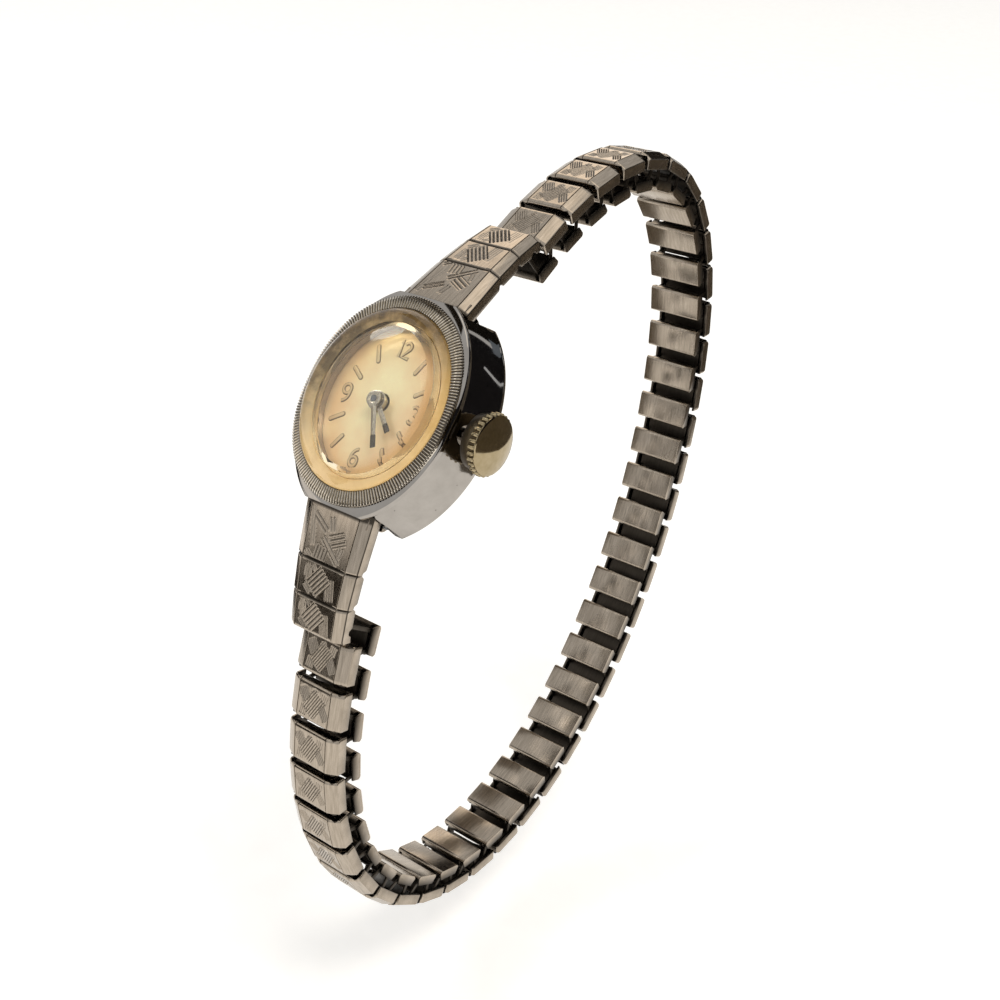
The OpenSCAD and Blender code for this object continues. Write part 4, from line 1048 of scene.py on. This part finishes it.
# The nodes that keep their CAD shape get their own finish
for material, names in ((spring_steel, ("spring_bars", "winding_stem", "setting_lever", "escape_wheel", "pallet_fork")),
                        (movement_gilt, ("main_plate", "train_bridges")), (arbor_brass, ("centre_wheel",)),
                        (wheel_brass, ("barrel", "third_wheel", "fourth_wheel", "balance_wheel"))):
    for name in names:
        slots = frame["nodes"][name].data.materials
        if not slots:
            slots.append(material)
        for k in range(len(slots)):
            slots[k] = material

# Floor, light and camera


def white_paper(node, place):
    """Matt white paper: shows as white to the camera and in metal and glass, and keeps the shadow."""
    fibre = node("TexNoise", {"Vector": place, "Scale": 0.4, "Detail": 4.0})
    paper = node("BsdfDiffuse", (stained(node, "#EDECEA", "#F2F1F0", fibre, 0.3, 0.7),))
    rays = node("LightPath").node.outputs
    seen = node("Math", (rays["Is Camera Ray"], rays["Is Glossy Ray"]), operation="MAXIMUM")
    seen = node("Math", (seen, rays["Is Transmission Ray"]), operation="MAXIMUM")
    return node("MixShader", (seen, paper, node("AddShader", (paper, node("Emission", ("#FFFFFF", 0.4))))))


def felt(node, place, code, glow):
    """Felt, dyed in faint clouds. A glow stands for the light on a pale card."""
    nap = node("TexNoise", {"Vector": place, "Scale": 0.3})
    colour = stained(node, code, "#1A1816", nap, 0.3, 0.7, 0.2)
    return node("Emission", (colour, glow)) if glow else node("BsdfDiffuse", (colour,))


def floor():
    # The band reaches 5.1 mm lower when it is stretched
    z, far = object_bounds()[0][2] / MM - 5.4, 1500
    obj = new_piece("floor", [[-far, -far, z], [far, -far, z], [far, far, z], [-far, far, z]], [[0, 1, 2, 3]], as_is)
    if obj.data.polygons[0].normal.z < 0:
        obj.data.flip_normals()
    obj.data.materials.append(new_material("matt_white_paper", white_paper))
    obj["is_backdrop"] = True


def card(name, centre, toward, width, height, code, glow=0):
    """Plain card out of view that shows only in reflections. It faces the point toward, or straight along x."""
    turn = (Vector(toward or (0, *centre[1:])) - Vector(centre)).to_track_quat("Z", "Y")
    corners = [turn @ Vector((x * width / 2, y * height / 2, 0)) + Vector(centre)
               for x, y in ((-1, -1), (1, -1), (1, 1), (-1, 1))]
    obj = new_piece(name, list(map(list, corners)), [[0, 1, 2, 3]], as_is)
    obj.data.materials.append(new_material(name + "_felt", felt, code, glow))
    obj.data.materials[0].cycles.emission_sampling = "NONE"
    obj.visible_camera = obj.visible_shadow = obj.visible_diffuse = False
    obj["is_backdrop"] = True


def lamp(name, place, size, power, code):
    """Round lamp that points at the watch and doesn't show in reflections. Its place is in metres."""
    light = bpy.data.lights.new(name, "AREA")
    light.shape = "DISK"
    light.size = size
    light.energy = power
    light.color = srgb(code)[:3]
    obj = shown(name, light)
    obj.location = place
    obj.rotation_euler = (Vector((0, 0.01, -0.01)) - obj.location).to_track_quat("-Z", "Y").to_euler()
    obj.visible_glossy = False


# Name, centre, the point that it faces, width, height, colour and glow
CARDS = [
    ("dark_card_right", (384, 171, 150), (0, 0, 150), 960, 392, "#28272A"),
    ("dark_card_behind", (-60, 470, 120), (0, 0, 0), 330, 300, "#24211F"),
    ("low_card", (46.6, 45.1, -10.0), (-15.2, -33.5, -10.0), 150, 43, "#7C746A"),
    ("horn_card", (-12, 1, -30), (-12, 1, 0), 18, 14, "#3A342E"),
    ("dark_card_above_rim", (-5, 1.6, 21.5), (-3.1, 5.8, 11.5), 15, 4.5, "#3A342E"),
    ("side_card_1", (-22, -47.5, -13.5), None, 33, 23, "#38322B"),
    ("side_card_2", (-22, -7.5, -18.25), None, 19, 7.5, "#3A342E"),
    ("side_card_3", (-22, -9, -5.65), None, 14, 9.7, "#100D0B"),
    ("side_card_4", (-22, 30, -10.75), None, 32, 28.5, "#8A8176"),
    ("pale_side_card_1", (-22, -10, -12.6), None, 16, 4, "#FFFAF4", 1.5),
    ("pale_side_card_2", (-22, 5, 3), None, 12, 7, "#FFFAF4", 1.7),
    ("pale_side_card_3", (-22, -29, 1.5), None, 34, 6.4, "#FFFAF4", 1.4),
    ("pale_card_behind", (-278, 329, 240), (0, 20, 0), 200, 340, "#FFF2E2", 2.0),
    ("pale_card_above", (60, 110, 430), (0, 12, 0), 220, 130, "#FFF8EE", 1.8),
    ("pale_card_front", (-84.5, -181, 346), (0, 0, 0), 84, 84, "#FFFAF2", 2.4),
    ("blue_card", (20, 61, 22), (5, 5, 5), 13, 9, "#AEB9C6", 0.5),
    ("thin_card", (44, 44, 21), (5, 5, 4), 2.4, 17, "#F2F6FA", 0.9)]
floor()
for row in CARDS:
    card(*row)
lamp("key_lamp", (0.3, -0.05, 0.68), 0.3, 2.0, "#FFF8EE")
lamp("side_lamp", (-0.5, -0.04, 0.5), 0.25, 0.9, "#FFFFFF")

# The surroundings: off-white light on the watch, a little more in reflections, white to the camera
world = bpy.data.worlds.new("studio")
bpy.context.scene.world = world
world.use_nodes = True
world.node_tree.nodes.clear()
node = partial(add, world.node_tree)
rays = node("LightPath").node.outputs
plain, bright, white = (node("Background", {"Color": code, "Strength": strength}) for code, strength in (
    ("#FFFDF8", 0.5), ("#FFFFFF", 0.72), ("#FFFFFF", 1.0)))
mixed = node("MixShader", (rays["Is Glossy Ray"], plain, bright))
node("OutputWorld", (node("MixShader", (rays["Is Camera Ray"], mixed, white)),))

# The camera's place and directions are those solved from the photo
RIGHT, UP, FORWARD = Vector((0.7861, 0.6181, 0)), Vector((-0.3003, 0.3819, 0.8741)), Vector((-0.5403, 0.6871, -0.4858))
CAMERA_PLACE = Vector((59.07, -64.93, 42.33)) * MM
camera = bpy.data.cameras.new("camera")
camera.lens, camera.sensor_width = 48.53, 36
camera.clip_start, camera.clip_end = 0.005, 20
viewer = shown("camera", camera)
viewer.matrix_world = Matrix.Translation(CAMERA_PLACE) @ Matrix((RIGHT, UP, -FORWARD)).transposed().to_4x4()
bpy.context.scene.camera = viewer
bpy.context.scene.view_settings.view_transform = "Standard"
